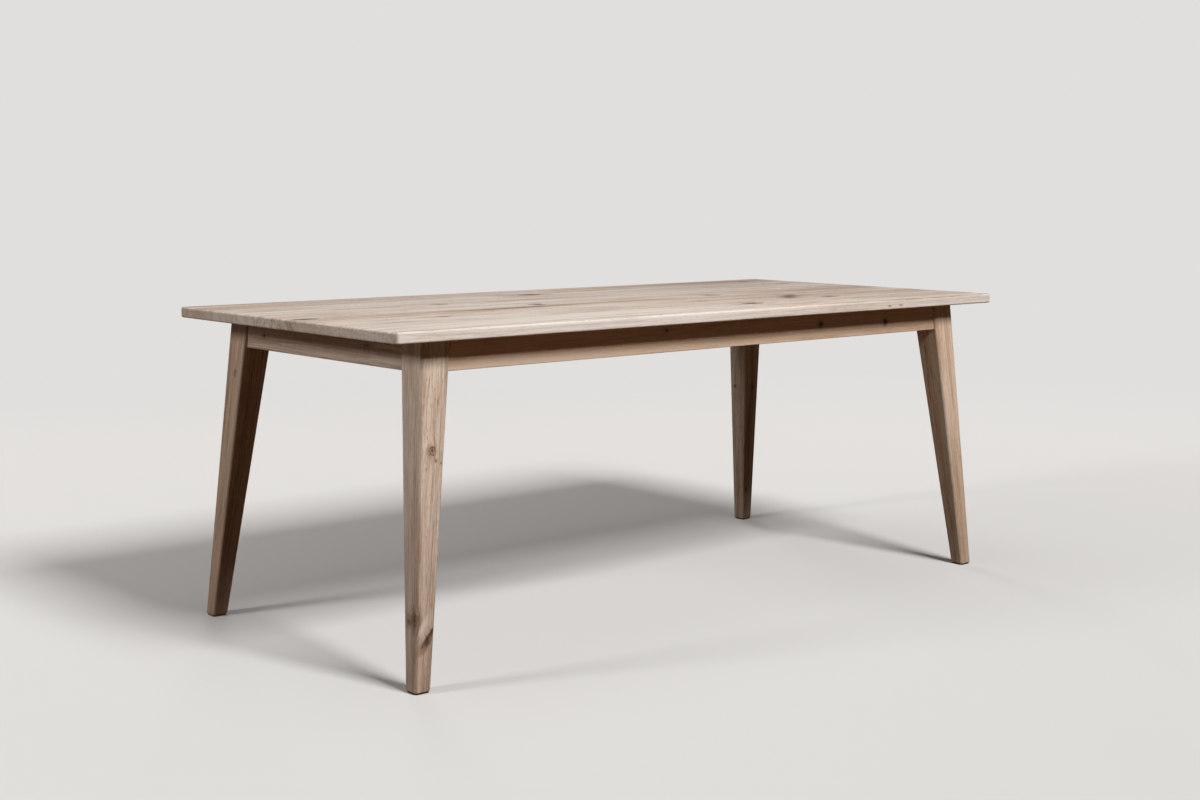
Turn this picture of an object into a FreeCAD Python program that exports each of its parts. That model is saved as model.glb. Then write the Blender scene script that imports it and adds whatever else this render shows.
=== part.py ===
import FreeCAD, Part

import math
import os

import Sketcher
from FreeCAD import Placement, Rotation, Vector

# Dining table: a solid oak top of five staves on four tapered, splayed legs joined by aprons.
# Millimetres. +X runs along the length to the right, +Y to the back, +Z up. The origin is on the
# floor under the centre of the top, so the front is at -Y and the left end at -X.

# Driving sizes.
SIZES = {
    # Whole table and its top
    "table_height": 760,
    "top_length": 2000,
    "top_width": 900,
    "top_thickness": 25,
    "top_corner_radius": 10,
    "top_upper_radius": 5,
    "top_lower_radius": 4.5,
    # Legs: square, tapered on all four sides, their feet set outwards of their heads
    "leg_head_side": 76,
    "leg_foot_side": 39,
    "leg_end_inset": 104,
    "leg_side_inset": 59,
    "leg_end_splay": 59,
    "leg_side_splay": 52,
    "leg_edge_radius": 5.8,
    "leg_foot_chamfer": 2,
    "leg_flat_depth": 12,
    # Glide under each foot
    "glide_thickness": 3,
    "glide_inset": 2.5,
    "glide_corner_radius": 4,
    # Aprons
    "apron_height": 70,
    "apron_thickness": 22,
    "apron_reveal": 3,
    "apron_edge_radius": 2,
    # Dowels between the aprons and the legs
    "dowel_diameter": 8,
    "dowel_length": 40,
    "dowel_pitch": 36,
    "dowel_chamfer": 1,
    # Corner blocks and the screws that hold them to the aprons
    "block_thickness": 28,
    "block_height": 60,
    "block_leg_gap": 2,
    "block_screw_inset": 22,
    "block_screw_sink": 8,
    "block_screw_pitch": 30,
    "block_screw_diameter": 4,
    "block_screw_embed": 15,
    "block_screw_head_diameter": 8,
    "block_screw_head_height": 3,
    # Hanger bolts from the corner blocks into the legs
    "bolt_diameter": 8,
    "bolt_embed": 55,
    "bolt_pitch": 30,
    "bolt_tail": 7,
    "bolt_point": 6,
    "bolt_tail_chamfer": 1,
    "bolt_hole_clearance": 1.4,
    "washer_diameter": 24,
    "washer_thickness": 2,
    "washer_clearance": 0.4,
    "nut_width": 13,
    "nut_height": 6.5,
    "nut_chamfer": 0.8,
    # Rail across the middle of the frame
    "rail_thickness": 22,
    "rail_height": 50,
    "rail_edge_radius": 2,
    "rail_dowel_length": 30,
    "rail_dowel_in_apron": 13,
    "rail_dowel_pitch": 26,
    "rail_screw_sink": 22,
    "rail_screw_diameter": 5,
    "rail_screw_embed": 14,
    "rail_screw_head_diameter": 10,
    "rail_screw_head_height": 3.5,
    # Wooden buttons that hold the top down and let it move
    "button_width": 28,
    "button_reach": 22,
    "button_gap": 0.5,
    "button_edge_radius": 1.5,
    "tongue_length": 9,
    "tongue_thickness": 6,
    "slot_drop": 9,
    "slot_side_play": 3,
    "slot_under_play": 1,
    "slot_end_play": 1,
    "button_screw_diameter": 4,
    "button_screw_embed": 14,
    "button_screw_head_diameter": 8,
    "button_screw_head_height": 2.5,
    # Play of a fastener in its hole, spare depth past its end, and how far a cut runs past a face
    "hole_fit": 0.1,
    "hole_spare": 1,
    "screw_clearance": 0.6,
    "head_clearance": 1,
    "cut_overrun": 5,
}

# Widths of the staves from the back to the front, as shares of the top's width.
STAVE_WIDTH_SHARES = (0.178, 0.194, 0.206, 0.220, 0.202)
STAVE_NAMES = (
    "top_board_back",
    "top_board_back_middle",
    "top_board_middle",
    "top_board_front_middle",
    "top_board_front",
)
# Places of the buttons on a long apron, as shares of the way from its middle to a leg.
BUTTON_PLACE_SHARES = (-0.73, -0.28, 0.28, 0.73)
# A screw's recess and point, as shares of its head's radius, its head's height and its diameter.
RECESS_ARM_SHARE = 0.55
RECESS_WIDTH_SHARE = 0.16
RECESS_DEPTH_SHARE = 0.7
POINT_LENGTH_SHARE = 1.5
HEAD_CROWN_SHARE = 0.72

LEFT, RIGHT = -1, 1
FRONT, BACK = -1, 1
CORNERS = {
    "front_left": (LEFT, FRONT),
    "front_right": (RIGHT, FRONT),
    "back_left": (LEFT, BACK),
    "back_right": (RIGHT, BACK),
}
UP = Vector(0, 0, 1)

doc = FreeCAD.newDocument("DiningTable")
sheet = doc.addObject("Spreadsheet::Sheet", "Sizes")
for row, (alias, size) in enumerate(SIZES.items(), start=1):
    sheet.set(f"A{row}", alias)
    sheet.set(f"B{row}", str(size))
    sheet.setAlias(f"B{row}", alias)
doc.recompute()

# Places that several pieces share, as expressions on the sheet. Those with an x or y key are
# distances from the middle of the table along that axis.
UNDERSIDE = "(Sizes.table_height - Sizes.top_thickness)"
APRON_BOTTOM = f"({UNDERSIDE} - Sizes.apron_height)"
APRON_MIDDLE = f"({UNDERSIDE} - Sizes.apron_height / 2)"
BLOCK_MIDDLE = f"({UNDERSIDE} - Sizes.block_height / 2)"
RAIL_MIDDLE = f"({UNDERSIDE} - Sizes.rail_height / 2)"
BUTTON_BOTTOM = f"({UNDERSIDE} - Sizes.slot_drop - Sizes.tongue_thickness)"
LEG_OUTER = {
    "x": "(Sizes.top_length / 2 - Sizes.leg_end_inset)",
    "y": "(Sizes.top_width / 2 - Sizes.leg_side_inset)",
}
LEG_SPLAY = {"x": "Sizes.leg_end_splay", "y": "Sizes.leg_side_splay"}
APRON_CENTRE = {
    axis: f"({outer} - Sizes.apron_reveal - Sizes.apron_thickness / 2)" for axis, outer in LEG_OUTER.items()
}
APRON_INNER = {axis: f"({centre} - Sizes.apron_thickness / 2)" for axis, centre in APRON_CENTRE.items()}
BUTTON_CENTRE = {
    axis: f"({inner} - Sizes.button_gap - Sizes.button_reach / 2)" for axis, inner in APRON_INNER.items()
}


def leg_inner_face(axis, height):
    """How far a leg's inner face is from the middle of the table at a height."""
    head = f"({LEG_OUTER[axis]} - Sizes.leg_head_side)"
    foot = f"({LEG_OUTER[axis]} + {LEG_SPLAY[axis]} - Sizes.leg_foot_side)"
    drop = f"(({UNDERSIDE} - {height}) / ({UNDERSIDE} - Sizes.glide_thickness))"
    return f"({head} + ({foot} - {head}) * {drop})"


LEG_CORNER = {axis: leg_inner_face(axis, UNDERSIDE) for axis in "xy"}
JOINT = {axis: leg_inner_face(axis, APRON_MIDDLE) for axis in "xy"}
# The block's two long faces run at 45 degrees, where x + y has these values.
BLOCK_BACK_SUM = (
    f"({LEG_CORNER['x']} + {LEG_CORNER['y']} + (Sizes.leg_flat_depth - Sizes.block_leg_gap) * sqrt(2))"
)
BLOCK_FRONT_SUM = f"({BLOCK_BACK_SUM} - Sizes.block_thickness * sqrt(2))"
# Along a hanger bolt, counted outwards from the leg's inner corner.
BLOCK_FACE_ON_BOLT = "(Sizes.leg_flat_depth - Sizes.block_leg_gap - Sizes.block_thickness)"
NUT_FACE_ON_BOLT = f"({BLOCK_FACE_ON_BOLT} - Sizes.washer_thickness)"
TAIL_ON_BOLT = f"({NUT_FACE_ON_BOLT} - Sizes.nut_height - Sizes.bolt_tail)"
BOLT_LENGTH = f"(Sizes.leg_flat_depth + Sizes.bolt_embed - {TAIL_ON_BOLT})"
BLOCK_SCREW_GRIP = "(Sizes.block_screw_inset - Sizes.block_screw_sink)"
RAIL_SCREW_GRIP = "(Sizes.rail_height - Sizes.rail_screw_sink)"
BUTTON_HEIGHT = "(Sizes.slot_drop + Sizes.tongue_thickness)"


def number(expression):
    """The value of an expression on the sheet."""
    return float(sheet.evalExpression(expression))


def times(side, expression):
    """A distance taken to the left or right, or to the front or back."""
    return f"({side} * {expression})"


def pair(middle, pitch):
    """Two places a pitch apart about a middle."""
    return [f"({middle} {sign} {pitch} / 2)" for sign in "-+"]


def seam(index):
    """Where the stave of that number starts, counted from the back."""
    share = 0.5 - sum(STAVE_WIDTH_SHARES[:index])
    return f"(Sizes.top_width * {share:.4f})"


def stave_centre(index):
    """The middle line of a stave."""
    return f"(({seam(index)} + {seam(index + 1)}) / 2)"


def new_body(name):
    """A body whose label is the name of its node."""
    body = doc.addObject("PartDesign::Body", name)
    body.Label = name
    return body


def origin_plane(body, role):
    """The body's own origin plane of that role."""
    return next(item for item in body.Origin.OriginFeatures if item.Role == role)


def attach(feature, body, role, place=("0", "0", "0"), turn=0.0):
    """Puts a feature on an origin plane moved to a place and turned about the plane's second axis."""
    x, y, z = place
    offsets = {"XY_Plane": (x, y, z), "XZ_Plane": (x, z, f"-({y})"), "YZ_Plane": (y, z, x)}[role]
    feature.AttachmentSupport = (origin_plane(body, role), [""])
    feature.MapMode = "FlatFace"
    feature.AttachmentOffset = Placement(Vector(), Rotation(Vector(0, 1, 0), turn))
    for axis, offset in zip("xyz", offsets):
        feature.setExpression(f"AttachmentOffset.Base.{axis}", offset)


def new_sketch(body, name, role, place=("0", "0", "0"), turn=0.0):
    """A sketch on an origin plane moved to a place."""
    sketch = body.newObject("Sketcher::SketchObject", name)
    attach(sketch, body, role, place, turn)
    return sketch


def bind(sketch, kind, where, expression):
    """Adds a sketch dimension that follows an expression."""
    constraint = sketch.addConstraint(Sketcher.Constraint(kind, *where, number(expression)))
    if expression != "0":
        sketch.setExpression(f"Constraints[{constraint}]", expression)


def draw_outline(sketch, points):
    """Draws a closed outline through points, each a pair of expressions."""
    corners = [Vector(number(across), number(up), 0) for across, up in points]
    for index, corner in enumerate(corners):
        sketch.addGeometry(Part.LineSegment(corner, corners[(index + 1) % len(corners)]), False)
    for index, (across, up) in enumerate(points):
        following = (index + 1) % len(points)
        sketch.addConstraint(Sketcher.Constraint("Coincident", index, 2, following, 1))
        bind(sketch, "DistanceX", (-1, 1, index, 1), across)
        bind(sketch, "DistanceY", (-1, 1, index, 1), up)


def draw_circles(sketch, centres, diameter):
    """Draws equal circles about centres, each a pair of expressions."""
    for across, up in centres:
        centre = Vector(number(across), number(up), 0)
        index = sketch.addGeometry(Part.Circle(centre, UP, number(diameter) / 2), False)
        bind(sketch, "DistanceX", (-1, 1, index, 3), across)
        bind(sketch, "DistanceY", (-1, 1, index, 3), up)
        bind(sketch, "Diameter", (index,), diameter)


def rectangle(left, right, bottom, top):
    """The corners of a rectangle."""
    return [(left, bottom), (right, bottom), (right, top), (left, top)]


def centred_rectangle(width, height):
    """The corners of a rectangle about the sketch's origin."""
    return rectangle(f"-{width} / 2", f"{width} / 2", f"-{height} / 2", f"{height} / 2")


def pad(body, name, sketch, length):
    """Pads a sketch by half the length to each side of its plane."""
    feature = body.newObject("PartDesign::Pad", name)
    feature.Profile = sketch
    feature.Midplane = True
    feature.setExpression("Length", length)
    doc.recompute()
    return feature


def pocket(body, name, sketch, depth, upwards=False):
    """Cuts a pocket from a sketch and makes sure that it took something away."""
    volume_before = body.Shape.Volume
    feature = body.newObject("PartDesign::Pocket", name)
    feature.Profile = sketch
    feature.Reversed = upwards
    feature.setExpression("Length", depth)
    doc.recompute()
    if body.Shape.Volume >= volume_before:
        raise RuntimeError(f"{name} cuts nothing")
    return feature


def heading_turn(heading):
    """The turn of an XZ sketch about Z at which a pocket runs along a level heading."""
    return math.degrees(math.atan2(-heading[0], heading[1]))


def bore(body, name, start, heading, heights, diameter, depth):
    """Bores level holes from a start, one at each height above it."""
    sketch = new_sketch(body, f"{name}_sketch", "XZ_Plane", start, heading_turn(heading))
    draw_circles(sketch, [("0", height) for height in heights], diameter)
    pocket(body, name, sketch, depth)


def bore_upright(body, name, centres, height, diameter, depth, upwards=True):
    """Bores upright holes from a height, at centres in plan."""
    sketch = new_sketch(body, f"{name}_sketch", "XY_Plane", ("0", "0", height))
    draw_circles(sketch, centres, diameter)
    pocket(body, name, sketch, depth, upwards)


def edges_where(feature, wanted):
    """The names of a feature's edges whose boxes pass a test."""
    return [f"Edge{n}" for n, edge in enumerate(feature.Shape.Edges, start=1) if wanted(edge.BoundBox)]


def round_edges(body, name, base, wanted, radius):
    """Rounds the edges of the last feature that pass a test."""
    feature = body.newObject("PartDesign::Fillet", name)
    feature.Base = (base, edges_where(base, wanted))
    feature.setExpression("Radius", radius)
    doc.recompute()
    return feature


def chamfer_edges(body, name, base, wanted, size):
    """Chamfers the edges of the last feature that pass a test."""
    feature = body.newObject("PartDesign::Chamfer", name)
    feature.Base = (base, edges_where(base, wanted))
    feature.setExpression("Size", size)
    doc.recompute()
    return feature


def level_at(height):
    """A test for edges that lie level at a height."""
    wanted_height = number(height)
    tolerance = number("Sizes.hole_fit") / 2
    return lambda box: abs(box.ZMin - wanted_height) < tolerance and abs(box.ZMax - wanted_height) < tolerance


def upright(box):
    """Whether an edge is upright."""
    return box.ZLength > box.XLength + box.YLength


def on_bolt(corner, distance):
    """A place on the level line of a corner's hanger bolts, outwards from the leg's inner corner."""
    side_x, side_y = corner
    step = f"{distance} / sqrt(2)"
    return (times(side_x, f"({LEG_CORNER['x']} + {step})"), times(side_y, f"({LEG_CORNER['y']} + {step})"))


def group_of_copies(name, master, places):
    """One node that holds a copy of a piece at each place, each with its rotation."""
    copies = []
    for place, rotation in places:
        copy = doc.addObject("App::Link", f"{name}_copy")
        copy.LinkedObject = master
        copy.Placement = Placement(Vector(), rotation)
        for axis, expression in zip("xyz", place):
            copy.setExpression(f"Placement.Base.{axis}", expression)
        copies.append(copy)
    group = doc.addObject("Part::Compound", name)
    group.Label = name
    group.Links = copies
    return group


def fastener_group(name, master, places):
    """One node that holds a copy of a fastener at each place, pointing along each heading."""
    turned = [(place, Rotation(UP, Vector(*heading))) for place, heading in places]
    return group_of_copies(name, master, turned)


def long_button_places(side_y):
    """Centres in plan of the buttons along one long apron."""
    y = times(side_y, BUTTON_CENTRE["y"])
    return [(f"({JOINT['x']} * {share})", y) for share in BUTTON_PLACE_SHARES]


def end_button_places(side_x):
    """Centres in plan of the buttons along one end apron, each under the middle of a stave."""
    x = times(side_x, BUTTON_CENTRE["x"])
    return [(x, stave_centre(index)) for index in range(1, len(STAVE_NAMES) - 1)]


def make_stave(index):
    """One stave of the top, with the top's rounded rim where it reaches it and its screw holes."""
    name = STAVE_NAMES[index]
    body = new_body(name)
    section = new_sketch(body, f"{name}_section", "YZ_Plane")
    outline = rectangle(seam(index + 1), seam(index), UNDERSIDE, "Sizes.table_height")
    draw_outline(section, outline)
    shape = pad(body, f"{name}_board", section, "Sizes.top_length")
    half_width = number("Sizes.top_width / 2")
    half_length = number("Sizes.top_length / 2")
    corner = number("Sizes.top_corner_radius")

    def on_rim(box):
        side = max(abs(box.YMin), abs(box.YMax)) > half_width - corner
        end = max(abs(box.XMin), abs(box.XMax)) > half_length - corner and box.XLength <= corner
        return end or (side and min(abs(box.YMin), abs(box.YMax)) > half_width - corner)

    last = len(STAVE_NAMES) - 1
    if index in (0, last):
        outer = half_width if index == 0 else -half_width
        shape = round_edges(
            body,
            f"{name}_corners",
            shape,
            lambda box: upright(box) and abs(box.YMin - outer) < corner,
            "Sizes.top_corner_radius",
        )
    at_top = level_at("Sizes.table_height")
    shape = round_edges(
        body, f"{name}_upper_rim", shape, lambda box: at_top(box) and on_rim(box), "Sizes.top_upper_radius"
    )
    at_bottom = level_at(UNDERSIDE)
    round_edges(
        body, f"{name}_lower_rim", shape, lambda box: at_bottom(box) and on_rim(box), "Sizes.top_lower_radius"
    )
    if index in (0, last):
        places = long_button_places(BACK if index == 0 else FRONT)
    else:
        places = [place for side_x in (LEFT, RIGHT) for place in end_button_places(side_x)[index - 1:index]]
        bore_upright(
            body,
            f"{name}_rail_screw_hole",
            [("0", stave_centre(index))],
            UNDERSIDE,
            "Sizes.rail_screw_diameter + Sizes.hole_fit",
            "Sizes.rail_screw_embed + Sizes.hole_spare",
        )
    bore_upright(
        body,
        f"{name}_button_screw_holes",
        places,
        UNDERSIDE,
        "Sizes.button_screw_diameter + Sizes.hole_fit",
        "Sizes.button_screw_embed + Sizes.hole_spare",
    )
    return body


def make_leg(corner_name, corner):
    """A square leg that tapers and splays, bored for its dowels and hanger bolts."""
    side_x, side_y = corner
    name = f"leg_{corner_name}"
    body = new_body(name)
    head = {axis: f"({LEG_OUTER[axis]} - Sizes.leg_head_side / 2)" for axis in "xy"}
    foot = {axis: f"({LEG_OUTER[axis]} + {LEG_SPLAY[axis]} - Sizes.leg_foot_side / 2)" for axis in "xy"}
    taper = body.newObject("PartDesign::AdditiveWedge", f"{name}_taper")
    attach(taper, body, "XZ_Plane")
    taper.setExpression("Ymin", "Sizes.glide_thickness")
    taper.setExpression("Ymax", UNDERSIDE)
    # The wedge's own Z runs against Y.
    for own, side, axis in (("X", side_x, "x"), ("Z", -side_y, "y")):
        taper.setExpression(f"{own}min", f"{side} * {foot[axis]} - Sizes.leg_foot_side / 2")
        taper.setExpression(f"{own}max", f"{side} * {foot[axis]} + Sizes.leg_foot_side / 2")
        taper.setExpression(f"{own}2min", f"{side} * {head[axis]} - Sizes.leg_head_side / 2")
        taper.setExpression(f"{own}2max", f"{side} * {head[axis]} + Sizes.leg_head_side / 2")
    doc.recompute()
    rounded = round_edges(body, f"{name}_edges", taper, upright, "Sizes.leg_edge_radius")
    chamfer_edges(
        body, f"{name}_foot", rounded, level_at("Sizes.glide_thickness"), "Sizes.leg_foot_chamfer"
    )

    inner_corner = (*on_bolt(corner, "0"), BLOCK_MIDDLE)
    flat_sketch = new_sketch(body, f"{name}_flat_sketch", "XZ_Plane", inner_corner, heading_turn(corner))
    flat_width = "(2 * Sizes.leg_flat_depth + 2 * Sizes.cut_overrun)"
    draw_outline(flat_sketch, centred_rectangle(flat_width, "(Sizes.block_height + 2 * Sizes.block_leg_gap)"))
    pocket(body, f"{name}_flat", flat_sketch, "Sizes.leg_flat_depth")
    bore(
        body,
        f"{name}_bolt_holes",
        inner_corner,
        corner,
        pair("0", "Sizes.bolt_pitch"),
        "Sizes.bolt_diameter + Sizes.hole_fit",
        "Sizes.leg_flat_depth + Sizes.bolt_embed + Sizes.hole_spare",
    )
    for axis, heading in (("x", (side_x, 0)), ("y", (0, side_y))):
        bore(
            body,
            f"{name}_dowel_holes_{axis}",
            dowel_place(corner, axis, LEG_CORNER[axis]),
            heading,
            pair("0", "Sizes.dowel_pitch"),
            "Sizes.dowel_diameter + Sizes.hole_fit",
            f"{JOINT[axis]} - {LEG_CORNER[axis]} + Sizes.dowel_length / 2 + Sizes.hole_spare",
        )
    return body


def dowel_place(corner, axis, distance):
    """A place on the middle line of the dowels that run along an axis into a corner's leg."""
    side_x, side_y = corner
    if axis == "x":
        return (times(side_x, distance), times(side_y, APRON_CENTRE["y"]), APRON_MIDDLE)
    return (times(side_x, APRON_CENTRE["x"]), times(side_y, distance), APRON_MIDDLE)


def make_glide(corner_name, corner):
    """The thin pad under a foot."""
    name = f"glide_{corner_name}"
    body = new_body(name)
    centre = [
        times(side, f"({LEG_OUTER[axis]} + {LEG_SPLAY[axis]} - Sizes.leg_foot_side / 2)")
        for side, axis in zip(corner, "xy")
    ]
    sketch = new_sketch(body, f"{name}_outline", "XY_Plane", (*centre, "Sizes.glide_thickness / 2"))
    side_length = "(Sizes.leg_foot_side - 2 * Sizes.glide_inset)"
    draw_outline(sketch, centred_rectangle(side_length, side_length))
    plate = pad(body, f"{name}_pad", sketch, "Sizes.glide_thickness")
    round_edges(body, f"{name}_corners", plate, upright, "Sizes.glide_corner_radius")
    return body


def make_apron(name, axis, side):
    """An apron along an axis, its ends cut to the slope of the legs, bored and slotted inside."""
    body = new_body(name)
    across = "y" if axis == "x" else "x"
    role = "XZ_Plane" if axis == "x" else "YZ_Plane"
    offset = times(side, APRON_CENTRE[across])
    centre = ("0", offset, "0") if axis == "x" else (offset, "0", "0")
    sketch = new_sketch(body, f"{name}_face", role, centre)
    upper = leg_inner_face(axis, UNDERSIDE)
    lower = leg_inner_face(axis, APRON_BOTTOM)
    outline = [
        (f"-{lower}", APRON_BOTTOM),
        (lower, APRON_BOTTOM),
        (upper, UNDERSIDE),
        (f"-{upper}", UNDERSIDE),
    ]
    draw_outline(sketch, outline)
    board = pad(body, f"{name}_board", sketch, "Sizes.apron_thickness")
    at_bottom = level_at(APRON_BOTTOM)
    thickness = number("Sizes.apron_thickness")
    round_edges(
        body,
        f"{name}_lower_edges",
        board,
        lambda box: at_bottom(box) and box.DiagonalLength > thickness * 2,
        "Sizes.apron_edge_radius",
    )
    for end_name, end in (("low", -1), ("high", 1)):
        corner = (end, side) if axis == "x" else (side, end)
        inwards = (-end, 0) if axis == "x" else (0, -end)
        bore(
            body,
            f"{name}_dowel_holes_{end_name}",
            dowel_place(corner, axis, f"({lower} + Sizes.cut_overrun)"),
            inwards,
            pair("0", "Sizes.dowel_pitch"),
            "Sizes.dowel_diameter + Sizes.hole_fit",
            f"{lower} + Sizes.cut_overrun - {JOINT[axis]} + Sizes.dowel_length / 2 + Sizes.hole_spare",
        )
        bore(
            body,
            f"{name}_block_screw_holes_{end_name}",
            block_screw_place(corner, across, APRON_INNER[across]),
            block_screw_heading(corner, across),
            pair("0", "Sizes.block_screw_pitch"),
            "Sizes.block_screw_diameter + Sizes.hole_fit",
            "Sizes.block_screw_embed + Sizes.hole_spare",
        )
    places = long_button_places(side) if axis == "x" else end_button_places(side)
    outwards = (0, side) if axis == "x" else (side, 0)
    slot_top = f"({UNDERSIDE} - Sizes.slot_drop)"
    slot_height = "(Sizes.tongue_thickness + Sizes.slot_under_play)"
    slot_middle = f"({slot_top} - {slot_height} / 2)"
    inner = times(side, APRON_INNER[across])
    for count, (x, y) in enumerate(places, start=1):
        start = (x, inner, slot_middle) if axis == "x" else (inner, y, slot_middle)
        slot = new_sketch(body, f"{name}_slot_{count}_sketch", "XZ_Plane", start, heading_turn(outwards))
        slot_width = "(Sizes.button_width + 2 * Sizes.slot_side_play)"
        draw_outline(slot, centred_rectangle(slot_width, slot_height))
        pocket(body, f"{name}_slot_{count}", slot, "Sizes.tongue_length + Sizes.slot_end_play")
    if axis == "x":
        bore(
            body,
            f"{name}_rail_dowel_holes",
            ("0", inner, RAIL_MIDDLE),
            outwards,
            pair("0", "Sizes.rail_dowel_pitch"),
            "Sizes.dowel_diameter + Sizes.hole_fit",
            "Sizes.rail_dowel_in_apron + Sizes.hole_spare",
        )
    return body


def block_screw_place(corner, axis, distance):
    """A place on the middle line of the screws that run along an axis from a block to its apron."""
    side_x, side_y = corner
    along = f"({BLOCK_FRONT_SUM} - {APRON_INNER[axis]} + Sizes.block_screw_inset)"
    if axis == "y":
        return (times(side_x, along), times(side_y, distance), BLOCK_MIDDLE)
    return (times(side_x, distance), times(side_y, along), BLOCK_MIDDLE)


def block_screw_heading(corner, axis):
    """The way that those screws point."""
    side_x, side_y = corner
    return (0, side_y) if axis == "y" else (side_x, 0)


def make_corner_block(corner_name, corner):
    """A block across a corner of the frame, bored for the leg's bolts and its own screws."""
    side_x, side_y = corner
    name = f"corner_block_{corner_name}"
    body = new_body(name)
    sketch = new_sketch(body, f"{name}_plan", "XY_Plane", ("0", "0", BLOCK_MIDDLE))
    inner_x = APRON_INNER["x"]
    inner_y = APRON_INNER["y"]
    plan = [
        (f"({BLOCK_FRONT_SUM} - {inner_y})", inner_y),
        (f"({BLOCK_BACK_SUM} - {inner_y})", inner_y),
        (inner_x, f"({BLOCK_BACK_SUM} - {inner_x})"),
        (inner_x, f"({BLOCK_FRONT_SUM} - {inner_x})"),
    ]
    draw_outline(sketch, [(times(side_x, x), times(side_y, y)) for x, y in plan])
    pad(body, f"{name}_block", sketch, "Sizes.block_height")
    bore(
        body,
        f"{name}_bolt_holes",
        (*on_bolt(corner, f"({BLOCK_FACE_ON_BOLT} - Sizes.cut_overrun)"), BLOCK_MIDDLE),
        corner,
        pair("0", "Sizes.bolt_pitch"),
        "Sizes.bolt_diameter + Sizes.bolt_hole_clearance",
        "Sizes.block_thickness + 2 * Sizes.cut_overrun",
    )
    for axis in "yx":
        seat = block_screw_place(corner, axis, f"({APRON_INNER[axis]} - {BLOCK_SCREW_GRIP})")
        outwards = block_screw_heading(corner, axis)
        inwards = (-outwards[0], -outwards[1])
        heights = pair("0", "Sizes.block_screw_pitch")
        bore(
            body,
            f"{name}_screw_holes_{axis}",
            seat,
            outwards,
            heights,
            "Sizes.block_screw_diameter + Sizes.screw_clearance",
            f"{BLOCK_SCREW_GRIP} + Sizes.cut_overrun",
        )
        bore(
            body,
            f"{name}_head_bores_{axis}",
            seat,
            inwards,
            heights,
            "Sizes.block_screw_head_diameter + Sizes.head_clearance",
            "Sizes.block_screw_sink + Sizes.block_screw_head_diameter + Sizes.cut_overrun",
        )
    return body


def make_centre_rail():
    """The rail between the long aprons, under the middle of the top."""
    name = "centre_rail"
    body = new_body(name)
    sketch = new_sketch(body, f"{name}_face", "YZ_Plane")
    inner = APRON_INNER["y"]
    bottom = f"({UNDERSIDE} - Sizes.rail_height)"
    draw_outline(sketch, rectangle(f"-{inner}", inner, bottom, UNDERSIDE))
    board = pad(body, f"{name}_board", sketch, "Sizes.rail_thickness")
    at_bottom = level_at(bottom)
    thickness = number("Sizes.rail_thickness")
    round_edges(
        body,
        f"{name}_lower_edges",
        board,
        lambda box: at_bottom(box) and box.YLength > thickness,
        "Sizes.rail_edge_radius",
    )
    for end_name, end in (("front", FRONT), ("back", BACK)):
        bore(
            body,
            f"{name}_dowel_holes_{end_name}",
            ("0", times(end, inner), RAIL_MIDDLE),
            (0, -end),
            pair("0", "Sizes.rail_dowel_pitch"),
            "Sizes.dowel_diameter + Sizes.hole_fit",
            "Sizes.rail_dowel_length - Sizes.rail_dowel_in_apron + Sizes.hole_spare",
        )
    seat = f"({UNDERSIDE} - {RAIL_SCREW_GRIP})"
    bore_upright(
        body,
        f"{name}_screw_holes",
        rail_screw_places(),
        seat,
        "Sizes.rail_screw_diameter + Sizes.screw_clearance",
        f"{RAIL_SCREW_GRIP} + Sizes.cut_overrun",
    )
    bore_upright(
        body,
        f"{name}_head_bores",
        rail_screw_places(),
        seat,
        "Sizes.rail_screw_head_diameter + Sizes.head_clearance",
        "Sizes.rail_screw_sink + Sizes.cut_overrun",
        upwards=False,
    )
    return body


def rail_screw_places():
    """Places in plan of the rail's screws, each under the middle of a stave."""
    return [("0", stave_centre(index)) for index in range(1, len(STAVE_NAMES) - 1)]


def revolve(body, name, sketch):
    """Revolves a profile about the upright axis."""
    feature = body.newObject("PartDesign::Revolution", name)
    feature.Profile = sketch
    feature.ReferenceAxis = (sketch, ["V_Axis"])
    doc.recompute()
    return feature


def make_screw(name, kind, length, countersunk):
    """A wood screw that points up, its head's seat or its flush face at the origin."""
    body = new_body(name)
    head = f"Sizes.{kind}_head_diameter / 2"
    head_height = f"Sizes.{kind}_head_height"
    shank = f"Sizes.{kind}_diameter / 2"
    shoulder = f"({length} - Sizes.{kind}_diameter * {POINT_LENGTH_SHARE})"
    if countersunk:
        face = "0"
        profile = [("0", "0"), (head, "0"), (shank, head_height)]
    else:
        face = f"-{head_height}"
        crown = f"({head} * {HEAD_CROWN_SHARE})"
        profile = [("0", face), (crown, face), (head, f"({face} / 2)"), (head, "0"), (shank, "0")]
    profile += [(shank, shoulder), ("0", length)]
    sketch = new_sketch(body, f"{name}_profile", "XZ_Plane")
    draw_outline(sketch, profile)
    revolve(body, f"{name}_turned", sketch)
    arm = f"({head} * {RECESS_ARM_SHARE} * 2)"
    width = f"({head} * {RECESS_WIDTH_SHARE} * 2)"
    for count, (across, along) in enumerate(((arm, width), (width, arm)), start=1):
        recess = new_sketch(body, f"{name}_recess_{count}_sketch", "XY_Plane", ("0", "0", face))
        draw_outline(recess, centred_rectangle(across, along))
        pocket(body, f"{name}_recess_{count}", recess, f"{head_height} * {RECESS_DEPTH_SHARE}", upwards=True)
    return body


def make_dowel(name, length):
    """A dowel with chamfered ends, its middle at the origin, standing up."""
    body = new_body(name)
    sketch = new_sketch(body, f"{name}_circle", "XY_Plane")
    draw_circles(sketch, [("0", "0")], "Sizes.dowel_diameter")
    rod = pad(body, f"{name}_rod", sketch, length)
    chamfer_edges(body, f"{name}_ends", rod, lambda box: not upright(box), "Sizes.dowel_chamfer")
    return body


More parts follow.
